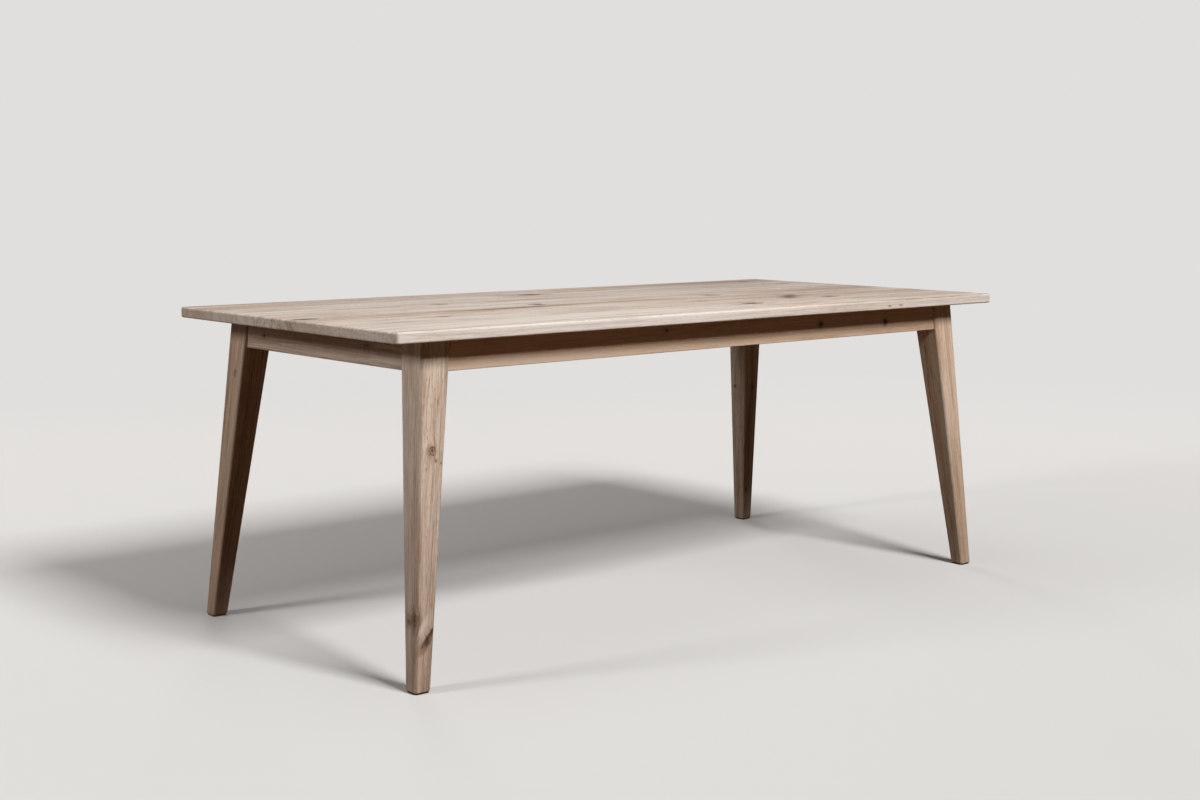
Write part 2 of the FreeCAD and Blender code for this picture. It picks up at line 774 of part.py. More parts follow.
def make_hanger_bolt():
    """A bolt that points up, from its machine-threaded tail at the origin to its wood point."""
    body = new_body("hanger_bolt")
    radius = "Sizes.bolt_diameter / 2"
    profile = [
        ("0", "0"),
        (f"({radius} - Sizes.bolt_tail_chamfer)", "0"),
        (radius, "Sizes.bolt_tail_chamfer"),
        (radius, f"({BOLT_LENGTH} - Sizes.bolt_point)"),
        ("0", BOLT_LENGTH),
    ]
    sketch = new_sketch(body, "hanger_bolt_profile", "XZ_Plane")
    draw_outline(sketch, profile)
    revolve(body, "hanger_bolt_turned", sketch)
    return body


def make_washer():
    """A wide washer that lies on its seat, from its outer face up to the block."""
    body = new_body("washer")
    sketch = new_sketch(body, "washer_rings", "XY_Plane", ("0", "0", "Sizes.washer_thickness / 2"))
    draw_circles(sketch, [("0", "0")], "Sizes.washer_diameter")
    draw_circles(sketch, [("0", "0")], "Sizes.bolt_diameter + Sizes.washer_clearance")
    pad(body, "washer_plate", sketch, "Sizes.washer_thickness")
    return body


def make_nut():
    """A hexagon nut with chamfered corners, from its outer face up to the washer."""
    circumradius = "Sizes.nut_width / sqrt(3)"
    prism = doc.addObject("Part::Prism", "nut_prism")
    prism.Polygon = 6
    prism.setExpression("Circumradius", circumradius)
    prism.setExpression("Height", "Sizes.nut_height")
    blank = doc.addObject("Part::Cylinder", "nut_blank")
    blank.setExpression("Radius", circumradius)
    blank.setExpression("Height", "Sizes.nut_height")
    doc.recompute()
    corners = doc.addObject("Part::Chamfer", "nut_corners")
    corners.Base = blank
    size = number("Sizes.nut_chamfer")
    rims = [n for n, edge in enumerate(blank.Shape.Edges, start=1) if not upright(edge.BoundBox)]
    corners.Edges = [(n, size, size) for n in rims]
    hexagon = doc.addObject("Part::Common", "nut_hexagon")
    hexagon.Base = prism
    hexagon.Tool = corners
    bore_tool = doc.addObject("Part::Cylinder", "nut_bore")
    bore_tool.setExpression("Radius", "(Sizes.bolt_diameter + Sizes.hole_fit) / 2")
    bore_tool.setExpression("Height", "Sizes.nut_height + 2 * Sizes.cut_overrun")
    bore_tool.setExpression("Placement.Base.z", "-Sizes.cut_overrun")
    nut = doc.addObject("Part::Cut", "nut")
    nut.Base = hexagon
    nut.Tool = bore_tool
    doc.recompute()
    return nut


def make_button():
    """A button whose tongue points along +Y, the apron's inner face and the top's underside at the origin."""
    body = new_body("button")
    sketch = new_sketch(body, "button_section", "YZ_Plane")
    face = "-Sizes.button_gap"
    heel = "(-Sizes.button_gap - Sizes.button_reach)"
    profile = [
        (heel, "0"),
        (face, "0"),
        (face, "-Sizes.slot_drop"),
        ("Sizes.tongue_length", "-Sizes.slot_drop"),
        ("Sizes.tongue_length", f"-{BUTTON_HEIGHT}"),
        (heel, f"-{BUTTON_HEIGHT}"),
    ]
    draw_outline(sketch, profile)
    block = pad(body, "button_block", sketch, "Sizes.button_width")
    radius = "Sizes.button_edge_radius"
    heel_place = number(heel)
    tolerance = number(radius)
    round_edges(
        body,
        "button_edges",
        block,
        lambda box: upright(box) and abs(box.YMax - heel_place) < tolerance,
        radius,
    )
    centre = "(-Sizes.button_gap - Sizes.button_reach / 2)"
    bottom = f"-{BUTTON_HEIGHT}"
    bore_upright(
        body,
        "button_screw_hole",
        [("0", centre)],
        bottom,
        "Sizes.button_screw_diameter + Sizes.screw_clearance",
        f"{BUTTON_HEIGHT} + Sizes.cut_overrun",
    )
    sink = body.newObject("PartDesign::SubtractiveCone", "button_countersink")
    attach(sink, body, "XY_Plane", ("0", centre, bottom))
    sink.setExpression("Radius1", "(Sizes.button_screw_head_diameter + Sizes.hole_fit) / 2")
    sink.setExpression("Radius2", "(Sizes.button_screw_diameter + Sizes.hole_fit) / 2")
    sink.setExpression("Height", "Sizes.button_screw_head_height")
    doc.recompute()
    return body


def dowel_group_places():
    """Where the dowels between the aprons and the legs are, and the way they point."""
    places = []
    for corner in CORNERS.values():
        for axis, heading in (("x", (1, 0, 0)), ("y", (0, 1, 0))):
            x, y, _ = dowel_place(corner, axis, JOINT[axis])
            places += [((x, y, z), heading) for z in pair(APRON_MIDDLE, "Sizes.dowel_pitch")]
    return places


def rail_dowel_places():
    """Where the dowels between the centre rail and the long aprons are."""
    middle = f"({APRON_INNER['y']} + Sizes.rail_dowel_in_apron - Sizes.rail_dowel_length / 2)"
    heights = pair(RAIL_MIDDLE, "Sizes.rail_dowel_pitch")
    return [(("0", times(side, middle), z), (0, 1, 0)) for side in (FRONT, BACK) for z in heights]


def bolt_line_places(distance):
    """Places on all hanger bolts at a distance outwards from the legs' inner corners."""
    places = []
    for corner in CORNERS.values():
        x, y = on_bolt(corner, distance)
        places += [((x, y, z), (*corner, 0)) for z in pair(BLOCK_MIDDLE, "Sizes.bolt_pitch")]
    return places


def block_screw_group_places():
    """Where the screws between the blocks and the aprons are seated, and the way they point."""
    places = []
    for corner in CORNERS.values():
        for axis in "yx":
            x, y, _ = block_screw_place(corner, axis, f"({APRON_INNER[axis]} - {BLOCK_SCREW_GRIP})")
            heading = (*block_screw_heading(corner, axis), 0)
            places += [((x, y, z), heading) for z in pair(BLOCK_MIDDLE, "Sizes.block_screw_pitch")]
    return places


def button_group_places():
    """Where the buttons meet their aprons under the top, and the way their tongues point."""
    places = []
    for side in (FRONT, BACK):
        y = times(side, APRON_INNER["y"])
        places += [((x, y, UNDERSIDE), (0, side)) for x, _ in long_button_places(side)]
    for side in (LEFT, RIGHT):
        x = times(side, APRON_INNER["x"])
        places += [((x, y, UNDERSIDE), (side, 0)) for _, y in end_button_places(side)]
    return places


def make_buttons():
    """All the buttons, each turned about the upright axis so that its tongue meets its apron."""
    places = [(place, Rotation(UP, heading_turn(heading))) for place, heading in button_group_places()]
    return group_of_copies("top_buttons", make_button(), places)


def make_fastener_groups():
    """The dowels, bolts, washers, nuts and screws, a node for each kind."""
    upwards = (0, 0, 1)
    long_places = [place for side in (FRONT, BACK) for place in long_button_places(side)]
    end_places = [place for side in (LEFT, RIGHT) for place in end_button_places(side)]
    button_screw_length = f"({BUTTON_HEIGHT} + Sizes.button_screw_embed)"
    button_screw = make_screw("button_screw", "button_screw", button_screw_length, True)
    block_screw_length = f"({BLOCK_SCREW_GRIP} + Sizes.block_screw_embed)"
    block_screw = make_screw("block_screw", "block_screw", block_screw_length, False)
    rail_screw_length = f"({RAIL_SCREW_GRIP} + Sizes.rail_screw_embed)"
    rail_screw = make_screw("rail_screw", "rail_screw", rail_screw_length, False)
    rail_screw_seat = f"({UNDERSIDE} - {RAIL_SCREW_GRIP})"
    return [
        fastener_group("apron_dowels", make_dowel("apron_dowel", "Sizes.dowel_length"), dowel_group_places()),
        fastener_group(
            "centre_rail_dowels", make_dowel("rail_dowel", "Sizes.rail_dowel_length"), rail_dowel_places()
        ),
        fastener_group("hanger_bolts", make_hanger_bolt(), bolt_line_places(TAIL_ON_BOLT)),
        fastener_group("hanger_bolt_washers", make_washer(), bolt_line_places(NUT_FACE_ON_BOLT)),
        fastener_group(
            "hanger_bolt_nuts", make_nut(), bolt_line_places(f"({NUT_FACE_ON_BOLT} - Sizes.nut_height)")
        ),
        fastener_group("corner_block_screws", block_screw, block_screw_group_places()),
        fastener_group(
            "centre_rail_screws",
            rail_screw,
            [((x, y, rail_screw_seat), upwards) for x, y in rail_screw_places()],
        ),
        fastener_group(
            "top_button_screws",
            button_screw,
            [((x, y, BUTTON_BOTTOM), upwards) for x, y in long_places + end_places],
        ),
    ]


def check_model(nodes):
    """Stops when an object of the document failed or a node has no sound shape."""
    for item in doc.Objects:
        if "Invalid" in item.State or "Error" in item.State:
            raise RuntimeError(f"{item.Label} failed: {item.State}")
    for node in nodes:
        if node.Shape.isNull() or not node.Shape.isValid():
            raise RuntimeError(f"{node.Label} has no valid shape")


nodes = [make_stave(index) for index in range(len(STAVE_NAMES))]
for corner_name, corner in CORNERS.items():
    nodes.append(make_leg(corner_name, corner))
    nodes.append(make_glide(corner_name, corner))
    nodes.append(make_corner_block(corner_name, corner))
nodes.append(make_apron("apron_front", "x", FRONT))
nodes.append(make_apron("apron_back", "x", BACK))
nodes.append(make_apron("apron_left", "y", LEFT))
nodes.append(make_apron("apron_right", "y", RIGHT))
nodes.append(make_centre_rail())
nodes.append(make_buttons())
nodes += make_fastener_groups()
doc.recompute()
check_model(nodes)

os.makedirs("parts", exist_ok=True)
for node in nodes:
    node.Shape.exportStep(f"parts/{node.Label}.step")
    print(node.Label, len(node.Shape.Solids), round(node.Shape.Volume))
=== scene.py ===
import math

import bpy
from mathutils import Matrix, Vector


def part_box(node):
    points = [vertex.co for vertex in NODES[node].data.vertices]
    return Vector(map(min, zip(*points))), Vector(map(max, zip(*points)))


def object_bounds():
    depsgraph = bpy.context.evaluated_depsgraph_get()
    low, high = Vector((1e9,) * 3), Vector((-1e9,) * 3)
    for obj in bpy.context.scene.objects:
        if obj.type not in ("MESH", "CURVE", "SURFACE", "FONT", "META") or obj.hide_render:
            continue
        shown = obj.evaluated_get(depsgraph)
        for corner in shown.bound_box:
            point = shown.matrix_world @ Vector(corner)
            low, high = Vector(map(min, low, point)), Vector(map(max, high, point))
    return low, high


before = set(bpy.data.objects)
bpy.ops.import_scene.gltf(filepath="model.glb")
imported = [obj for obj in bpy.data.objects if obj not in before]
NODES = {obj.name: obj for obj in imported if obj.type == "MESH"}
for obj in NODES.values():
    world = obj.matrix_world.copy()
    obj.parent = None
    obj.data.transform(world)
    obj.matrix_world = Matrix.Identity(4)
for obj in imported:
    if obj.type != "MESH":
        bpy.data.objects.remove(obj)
CAD_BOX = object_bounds()
MM = 0.001

# The camera: its place, its heading from +Y, its tilt and its roll in radians, and its lens and
# sensor in mm.
CAMERA_PLACE = Vector((-2935.5, -3238.6, 1058.5)) * MM
CAMERA_HEADING = 0.7273
CAMERA_TILT = -0.1275
CAMERA_ROLL = 0.0051
CAMERA_LENS = 50.74
CAMERA_SENSOR = 36.0

# Lamps: their places and sizes in metres, and the share of its own colour that a surface at the
# target shows when it faces the lamp.
LAMPS = {
    "key_lamp": dict(place=(-0.04, -5.50, 5.50), share=1.04, size=2.10),
    "window_lamp": dict(place=(-5.2, 1.05, 2.70), share=0.285, size=1.05),
    "low_lamp": dict(place=(-9.0, 1.0, 0.9), share=0.022, size=1.20),
    "overhead_lamp": dict(place=(-0.2, 0.4, 4.6), share=0.12, size=2.4),
    "fill_lamp": dict(place=(3.6, 7.8, 2.2), share=0.22, size=2.4, glossy=False),
}
LAMP_TARGET = Vector((0, 0, 0.6))
AMBIENT_SHARE = 0.044

# The floor: its reach in metres, the level its light is evened to and how much that may lift it.
FLOOR_REACH = 60.0
FLOOR_LEVEL = 0.98
FLOOR_LIFT_LIMIT = 4.0

# Clouds of noise: how many there are to the metre along each of three ways, how many finer clouds
# they carry and how rough those are. In oak the first way is along the grain.
CLOUDS = {
    "heart_sway": ((0.9, 3.5, 3.5), 2, 0.5),
    "ring_ripple": ((5.0, 28.0, 28.0), 3, 0.5),
    "year_widths": ((55.0, 1.0, 1.0), 1, 0.5),
    "pores": ((42.0, 1500.0, 1500.0), 2, 0.55),
    "streaks": ((1.2, 46.0, 46.0), 4, 0.62),
    "lines": ((4.5, 300.0, 300.0), 4, 0.66),
    "fibres": ((9.0, 900.0, 900.0), 2, 0.5),
    "flecks": ((62.0, 620.0, 620.0), 2, 0.5),
    "veins": ((1.6, 70.0, 70.0), 3, 0.55),
    "rays": ((38.0, 95.0, 26.0), 2, 0.5),
    "drift": ((1.1, 8.5, 8.5), 2, 0.5),
    "hue": ((1.4, 24.0, 24.0), 3, 0.5),
    "knot_wobble": ((60.0, 120.0, 120.0), 3, 0.6),
    "knot_breaks": ((150.0, 330.0, 330.0), 3, 0.6),
    "beech_drift": ((30.0, 30.0, 30.0), 3, 0.5),
    "beech_flecks": ((500.0, 500.0, 900.0), 2, 0.5),
    "zinc_bloom": ((160.0, 160.0, 160.0), 4, 0.6),
    "zinc_scuffs": ((2600.0, 300.0, 2600.0), 2, 0.5),
    "glide_rubbing": ((120.0, 120.0, 120.0), 3, 0.5),
    "glide_grain": ((1800.0, 1800.0, 1800.0), 2, 0.5),
}

# Soft steps: the value at which each starts and the value at which it is full. A knot's and a
# marked or painted patch's are counted in its own reaches, an arris's, a joint's and the floor's in
# metres, the end grain's and a face's by how squarely it is faced, and a foot's in half lengths of
# the leg.
STEPS = {
    "early_wood": (0.42, 0.10),
    "late_wood": (0.55, 1.0),
    "pore": (0.0, 0.07),
    "fleck": (0.60, 0.72),
    "vein": (0.020, 0.002),
    "ray": (0.60, 0.70),
    "knot_core": (1.05, 0.15),
    "knot_heart": (0.75, 0.15),
    "knot_rim": (0.34, 0.0),
    "knot_rim_breaks": (0.32, 0.52),
    "knot_halo": (3.0, 0.6),
    "knot_split": (0.055, 0.005),
    "knot_split_reach": (1.0, 0.35),
    "arris": (5.0 * MM, 1.2 * MM),
    "joint": (2.4 * MM, 0.8 * MM),
    "end_grain": (0.55, 0.95),
    "rosy": (0.40, 0.60),
    "tan": (-0.1, 0.9),
    "brown": (0.80, 1.6),
    "veined": (0.42, 0.62),
    "stain_or_painted_light": (1.05, 0.2),
    "face": (0.74, 0.95),
    "foot": (1.0, -1.0),
    "beech_tan": (0.3, 0.7),
    "beech_fleck": (0.60, 0.68),
    "beech_rough": (0.3, 0.7),
    "zinc_grey": (0.35, 0.65),
    "zinc_scuff": (0.60, 0.72),
    "zinc_rough": (0.3, 0.7),
    "glide_rubbed": (0.45, 0.7),
    "glide_smooth": (0.4, 0.7),
    "floor_fade": (2.4, 5.6),
}

# How oak grows: the strides that keep clouds apart, how far in metres the heart line sways and the
# rings ripple, how many years the uneven growth adds, how far in metres a turn about the heart
# counts, the level over which a pore opens, its drop in early wood, and the level veins follow.
SEED_STRIDE = (7.31, 3.17, 5.71)
HUE_STRIDE = (3.7, 1.9, 8.3)
HEART_SWAY = 0.034
RING_RIPPLE = 0.006
UNEVEN_YEARS = 3.0
TURN_SHARE = 0.09
PORE_LEVEL = 0.665
EARLY_PORE_DROP = 0.11
VEIN_LEVEL = 0.56

# A knot: how far its outline wobbles and where its rim lies, in its own reaches, the level of the
# breaks at which it splits, and how steeply and how high the rings swell round it.
KNOT_WOBBLE = 1.2
KNOT_RIM_PLACE = 0.95
KNOT_SPLIT_LEVEL = 0.5
KNOT_SWELL_FALL = -0.25
KNOT_SWELL_SHARE = 0.9
KNOT_PARTS = ("Core", "Heart", "Rim", "Halo", "Crack", "Swell")

# How oak looks: its plain tone, how far each part of its growth shifts that, how strongly each part
# shows in its own colour, or the arrises as a painted highlight and the joints as painted shade,
# and how far the fine lines fray a marked or painted patch.
PLAIN_TONE = 0.40
RING_SHIFT = 0.16
HALO_SHIFT = 0.45
STREAKY_SHIFTS = {"Streak": 3.4, "Line": 3.4}
STEADY_SHIFTS = {"Drift": 1.2, "Fibre": 0.6}
RAY_SHARE = 0.35
PORE_SHARE = 0.60
FLECK_SHARE = 0.55
VEIN_SHARES = (0.05, 0.55)
END_GRAIN_SHARE = 0.15
ARRIS_HIGHLIGHT_SHARE = 0.05
JOINT_SHADE_SHARE = 0.8
KNOT_MARKS = {
    "Core": (0.85, "knot"),
    "Heart": (0.75, "dark"),
    "Rim": (0.85, "dark"),
    "Crack": (1.0, "dark"),
}
STAIN_AND_PAINTED_LIGHT_FRAY = 2.2

# How oak feels: its roughness, what changes that, its sheen, and how far each part stands up.
PLAIN_ROUGHNESS = 0.56
PORE_ROUGHNESS = 0.14
DRIFT_ROUGHNESS = 0.16
ARRIS_SMOOTHNESS = 0.06
OAK_SHEEN = 0.32
OAK_BUMP = 0.8
GROWTH_RELIEF = {"Pore": -0.12 * MM, "Fleck": -0.10 * MM, "Ring": 0.02 * MM}
FIBRE_RELIEF = 0.06 * MM
KNOT_RELIEF = {"Crack": -0.6 * MM, "Rim": -0.15 * MM}

# Half sizes are stretched by this where a timber isn't squared to its box, so it shows no arris.
NO_ARRIS = 3
# How near an end of a leg the corners of its section are looked for.
SECTION_BAND = 1.5 * MM
# How far a leg darkens down to its foot, and how streaky the top is beside the frame.
LEG_FOOT_SHARE = 0.30
TOP_STREAKINESS = 1.25


def paint(red, green, blue):
    """A colour as seen, 0 to 255, turned by the usual screen curve into what a shader takes."""
    def straight(value):
        share = value / 255
        return share / 12.92 if share <= 0.04045 else ((share + 0.055) / 1.055) ** 2.4
    return (straight(red), straight(green), straight(blue), 1.0)


BACKDROP = paint(224, 223, 221)
SURROUND = paint(126, 131, 138)
FLOOR_BOUNCE = paint(84, 63, 45)
AMBIENT = paint(255, 226, 200)

# Oak tones, as they are seen in plain light. The ray tone also serves as painted light and the
# brown tone as painted shade on some faces, arrises and patches.
TOP_TONES = {
    "pale": paint(229, 219, 209),
    "rosy": paint(226, 207, 191),
    "tan": paint(197, 177, 160),
    "brown": paint(148, 121, 101),
    "pore": paint(140, 117, 99),
    "ray": paint(236, 228, 219),
    "knot": paint(122, 88, 62),
    "dark": paint(70, 46, 30),
    "grey": paint(128, 102, 92),
    "olive": paint(124, 98, 66),
}
FRAME_TONES = {
    "pale": paint(224, 205, 187),
    "rosy": paint(222, 197, 176),
    "tan": paint(190, 164, 142),
    "brown": paint(138, 107, 84),
    "pore": paint(130, 103, 82),
    "ray": paint(232, 217, 201),
    "knot": paint(128, 86, 56),
    "dark": paint(52, 34, 24),
    "amber": paint(224, 184, 148),
    "rust": paint(172, 118, 80),
    # The bright tone serves only as painted light, laid over a leg's inner side face.
    "bright": paint(236, 232, 228),
}
INNER_TONES = {
    "pale": paint(220, 192, 160),
    "rosy": paint(218, 186, 152),
    "tan": paint(196, 162, 126),
    "brown": paint(154, 118, 84),
    "pore": paint(152, 120, 88),
    "ray": paint(226, 204, 176),
    "knot": paint(124, 88, 60),
    "dark": paint(60, 38, 26),
}


# Wiring of materials

def plug(tree, socket, value):
    """Joins an output to an input, or sets the input to a value."""
    if isinstance(value, bpy.types.NodeSocket):
        tree.links.new(value, socket)
    else:
        socket.default_value = value


def add(tree, kind, sockets=None, **settings):
    """A node, its settings made and its inputs given a value or joined to an output."""
    made = tree.nodes.new(kind)
    for name, value in settings.items():
        setattr(made, name, value)
    for name, value in (sockets or {}).items():
        plug(tree, made.inputs[name], value)
    return made


def maths(tree, operation, *values):
    """The output of a maths node."""
    made = add(tree, "ShaderNodeMath", operation=operation)
    for socket, value in zip(made.inputs, values):
        plug(tree, socket, value)
    return made.outputs[0]


def total(tree, first, *others):
    """Values added together."""
    for value in others:
        first = maths(tree, "ADD", first, value)
    return first


def product(tree, first, *others):
    """Values multiplied together."""
    for value in others:
        first = maths(tree, "MULTIPLY", first, value)
    return first


def less(tree, value, taken):
    """A value with another taken from it."""
    return maths(tree, "SUBTRACT", value, taken)


def centred(tree, level, strength):
    """A cloud's level counted from its middle, at a strength."""
    return product(tree, less(tree, level, 0.5), strength)


def distance_from(tree, value, level):
    """How far a value is from a level."""
    return maths(tree, "ABSOLUTE", less(tree, value, level))


def vector_maths(tree, operation, first, second=None, scale=None):
    """The output of a vector maths node."""
    made = add(tree, "ShaderNodeVectorMath", {0: first}, operation=operation)
    if second is not None:
        plug(tree, made.inputs[1], second)
    if scale is not None:
        plug(tree, made.inputs["Scale"], scale)
    return made.outputs["Value" if operation in ("LENGTH", "DOT_PRODUCT") else "Vector"]


def swing(tree, three_levels, reach):
    """A cloud's three levels as a vector that swings about nothing."""
    middled = vector_maths(tree, "SUBTRACT", three_levels, (0.5, 0.5, 0.5))
    return vector_maths(tree, "SCALE", middled, scale=reach)


def parts_of(tree, vector):
    """The three parts of a vector."""
    return add(tree, "ShaderNodeSeparateXYZ", {"Vector": vector}).outputs


def vector_from(tree, x=0.0, y=0.0, z=0.0):
    """A vector made of three parts."""
    return add(tree, "ShaderNodeCombineXYZ", {"X": x, "Y": y, "Z": z}).outputs[0]


def soft_step(tree, value, kind, start=0.0, end=1.0):
    """A soft step of one of the kinds of STEPS, from a start to an end."""
    low, high = STEPS[kind]
    return add(
        tree,
        "ShaderNodeMapRange",
        {"Value": value, "From Min": low, "From Max": high, "To Min": start, "To Max": end},
        interpolation_type="SMOOTHSTEP",
    ).outputs["Result"]


def mix_colours(tree, share, first, second, blend="MIX"):
    """Two colours mixed by a share."""
    made = add(tree, "ShaderNodeMix", data_type="RGBA", blend_type=blend)
    for name, value in (("Factor_Float", share), ("A_Color", first), ("B_Color", second)):
        plug(tree, next(item for item in made.inputs if item.identifier == name), value)
    return next(item for item in made.outputs if item.identifier == "Result_Color")


def cloud(tree, place, kind, output="Fac"):
    """One of the clouds of noise of CLOUDS: its level, or three levels as its Color output."""
    stretch, detail, roughness = CLOUDS[kind]
    spread = vector_maths(tree, "MULTIPLY", place, stretch)
    sockets = {"Vector": spread, "Scale": 1.0, "Detail": detail, "Roughness": roughness}
    return add(tree, "ShaderNodeTexNoise", sockets).outputs[output]


def bump(tree, shader, height, distance, strength):
    """Relief on a surface from a height, which the distance turns into metres."""
    sockets = {"Height": height, "Distance": distance, "Strength": strength}
    plug(tree, shader.inputs["Normal"], add(tree, "ShaderNodeBump", sockets).outputs[0])


FLOAT = "NodeSocketFloat"
VECTOR = "NodeSocketVector"


def new_group(name, inputs, outputs):
    """An empty group of nodes, with inputs of the kinds given and outputs that are plain levels."""
    tree = bpy.data.node_groups.new(name, "ShaderNodeTree")
    for label, kind in inputs.items():
        tree.interface.new_socket(label, in_out="INPUT", socket_type=kind)
    for label in outputs:
        tree.interface.new_socket(label, in_out="OUTPUT", socket_type=FLOAT)
    return tree, tree.nodes.new("NodeGroupInput").outputs, tree.nodes.new("NodeGroupOutput").inputs


def use_group(tree, group, **sockets):
    """A group put into a tree, its inputs set by their names."""
    made = add(tree, "ShaderNodeGroup", node_tree=group)
    for label, value in sockets.items():
        plug(tree, made.inputs[label], value)
    return made.outputs


def new_material(name):
    """A material with its tree and its shader, which everything else is joined to."""
    material = bpy.data.materials.new(name)
    material.use_nodes = True
    return material, material.node_tree, material.node_tree.nodes["Principled BSDF"]


# Oak

def make_growth_group():
    """Growth rings about a heart line, and the pores, rays, streaks and fibres that follow them."""
    tree, given, result = new_group(
        "oak_growth",
        dict(Place=VECTOR, Heart=VECTOR, Lean=FLOAT, RingWidth=FLOAT, Swell=FLOAT, Seed=FLOAT),
        ("Ring", "Pore", "Ray", "Streak", "Line", "Fleck", "Vein", "Drift", "Hue", "Fibre"),
    )
    place = given["Place"]
    along = parts_of(tree, place)[0]
    seed = vector_maths(tree, "SCALE", SEED_STRIDE, scale=given["Seed"])
    own = vector_maths(tree, "ADD", place, seed)

    # The heart line wanders, and so do the rings about it.
    off_heart = vector_maths(tree, "SUBTRACT", place, given["Heart"])
    sway = swing(tree, cloud(tree, own, "heart_sway", "Color"), HEART_SWAY)
    lean = vector_from(tree, z=product(tree, along, given["Lean"]))
    for shift in (sway, lean):
        off_heart = vector_maths(tree, "ADD", off_heart, shift)
    off = parts_of(tree, off_heart)
    distance = vector_maths(tree, "LENGTH", vector_from(tree, y=off[1], z=off[2]))
    ripple = centred(tree, cloud(tree, own, "ring_ripple"), RING_RIPPLE)
    radius = total(tree, distance, ripple, given["Swell"])
    turn = maths(tree, "ARCTAN2", off[2], off[1])

    # Narrow years and wide ones.
    uneven = cloud(tree, vector_from(tree, x=radius, y=given["Seed"]), "year_widths")
    years = total(
        tree, maths(tree, "DIVIDE", radius, given["RingWidth"]), product(tree, uneven, UNEVEN_YEARS)
    )
    year = maths(tree, "FRACT", years)
    early = soft_step(tree, year, "early_wood")
    plug(tree, result["Ring"], less(tree, soft_step(tree, year, "late_wood"), early))

    # Everything drawn out along the grain follows the rings, and so flows round the knots.
    flow = vector_from(tree, x=along, y=radius, z=product(tree, turn, TURN_SHARE))
    flow = vector_maths(tree, "ADD", flow, seed)
    least = less(tree, PORE_LEVEL, product(tree, early, EARLY_PORE_DROP))
    pits = less(tree, cloud(tree, flow, "pores"), least)
    plug(tree, result["Pore"], soft_step(tree, pits, "pore"))
    plug(tree, result["Streak"], cloud(tree, flow, "streaks"))
    plug(tree, result["Line"], cloud(tree, flow, "lines"))
    plug(tree, result["Fibre"], cloud(tree, flow, "fibres"))
    plug(tree, result["Fleck"], soft_step(tree, cloud(tree, flow, "flecks"), "fleck"))
    veins = distance_from(tree, cloud(tree, flow, "veins"), VEIN_LEVEL)
    plug(tree, result["Vein"], soft_step(tree, veins, "vein"))

    # Rays stand in planes through the heart line.
    sheets = cloud(tree, vector_from(tree, x=along, y=turn, z=radius), "rays")
    plug(tree, result["Ray"], soft_step(tree, sheets, "ray"))

    # Broad drifts of tone and hue.
    plug(tree, result["Drift"], cloud(tree, own, "drift"))
    plug(tree, result["Hue"], cloud(tree, vector_maths(tree, "ADD", flow, HUE_STRIDE), "hue"))
    return tree


def make_knot_group():
    """A knot: an egg-shaped branch stub that the rings swell round."""
    tree, given, result = new_group(
        "oak_knot",
        dict(Offset=VECTOR, Width=FLOAT, Depth=FLOAT, Ring=FLOAT, Wobble=VECTOR, Breaks=FLOAT),
        KNOT_PARTS,
    )
    depth = given["Depth"]
    plain = vector_maths(tree, "LENGTH", given["Offset"])
    away = vector_maths(tree, "LENGTH", vector_maths(tree, "ADD", given["Offset"], given["Wobble"]))
    plug(tree, result["Core"], product(tree, soft_step(tree, away, "knot_core"), depth))
    plug(tree, result["Heart"], product(tree, soft_step(tree, away, "knot_heart"), depth, depth))
    plug(tree, result["Halo"], product(tree, soft_step(tree, plain, "knot_halo"), depth))
    rim = soft_step(tree, distance_from(tree, away, KNOT_RIM_PLACE), "knot_rim")
    broken = soft_step(tree, given["Breaks"], "knot_rim_breaks")
    plug(tree, result["Rim"], product(tree, rim, broken, given["Ring"]))
    split = soft_step(tree, distance_from(tree, given["Breaks"], KNOT_SPLIT_LEVEL), "knot_split")
    split_reach = soft_step(tree, away, "knot_split_reach")
    plug(tree, result["Crack"], product(tree, split, split_reach, depth))
    bell = maths(tree, "EXPONENT", product(tree, plain, plain, KNOT_SWELL_FALL))
    plug(tree, result["Swell"], product(tree, bell, given["Width"], KNOT_SWELL_SHARE))
    return tree


def make_arris_group():
    """How near a place is to an edge of a squared timber whose half sizes may taper along it."""
    inputs = dict(Place=VECTOR, Half=VECTOR, Taper=VECTOR)
    tree, given, result = new_group("arris", inputs, ("Edge",))
    along = parts_of(tree, given["Place"])[0]
    narrowed = vector_maths(tree, "SCALE", given["Taper"], scale=along)
    half = vector_maths(tree, "ADD", given["Half"], narrowed)
    inside = vector_maths(tree, "SUBTRACT", half, vector_maths(tree, "ABSOLUTE", given["Place"]))
    x, y, z = parts_of(tree, inside)
    low = maths(tree, "MINIMUM", x, y)
    high = maths(tree, "MAXIMUM", x, y)
    middle = maths(tree, "MAXIMUM", low, maths(tree, "MINIMUM", high, z))
    plug(tree, result["Edge"], soft_step(tree, middle, "arris"))
    return tree


GROWTH = make_growth_group()
KNOT = make_knot_group()
ARRIS = make_arris_group()


def place_in(tree, timber_frame):
    """Object coordinates counted from a timber's middle, the first along its grain."""
    coordinates = add(tree, "ShaderNodeTexCoord").outputs["Object"]
    turn = timber_frame.to_euler()
    return add(
        tree,
        "ShaderNodeMapping",
        {"Vector": coordinates, "Location": timber_frame.to_translation(), "Rotation": turn},
        vector_type="TEXTURE",
    ).outputs["Vector"]


def knot(spot, reach, depth, turn=0.0, ring=None):
    """A knot: its place on the table and reach in mm, how dark it is, its turn and its ring."""
    ring = depth if ring is None else ring
    return dict(spot=spot, reach=reach, depth=depth, turn=turn, ring=ring)


def stain_or_painted_light(spot, reach, depth, tone="knot", turn=0.0):
    """A dark or pale mark of the wood, or a patch of painted light or painted shade: its place and
    reach in mm, its strength, its tone and its turn.
    """
    return dict(spot=spot, reach=reach, depth=depth, tone=tone, turn=turn)


def face(way, depth, tone, blend="MIX"):
    """A face's tone, which on some faces and arrises is painted light or painted shade: the way it
    looks, the tone's strength, the tone and how it is laid on.
    """
    return dict(way=Vector(way).normalized(), depth=depth, tone=tone, blend=blend)


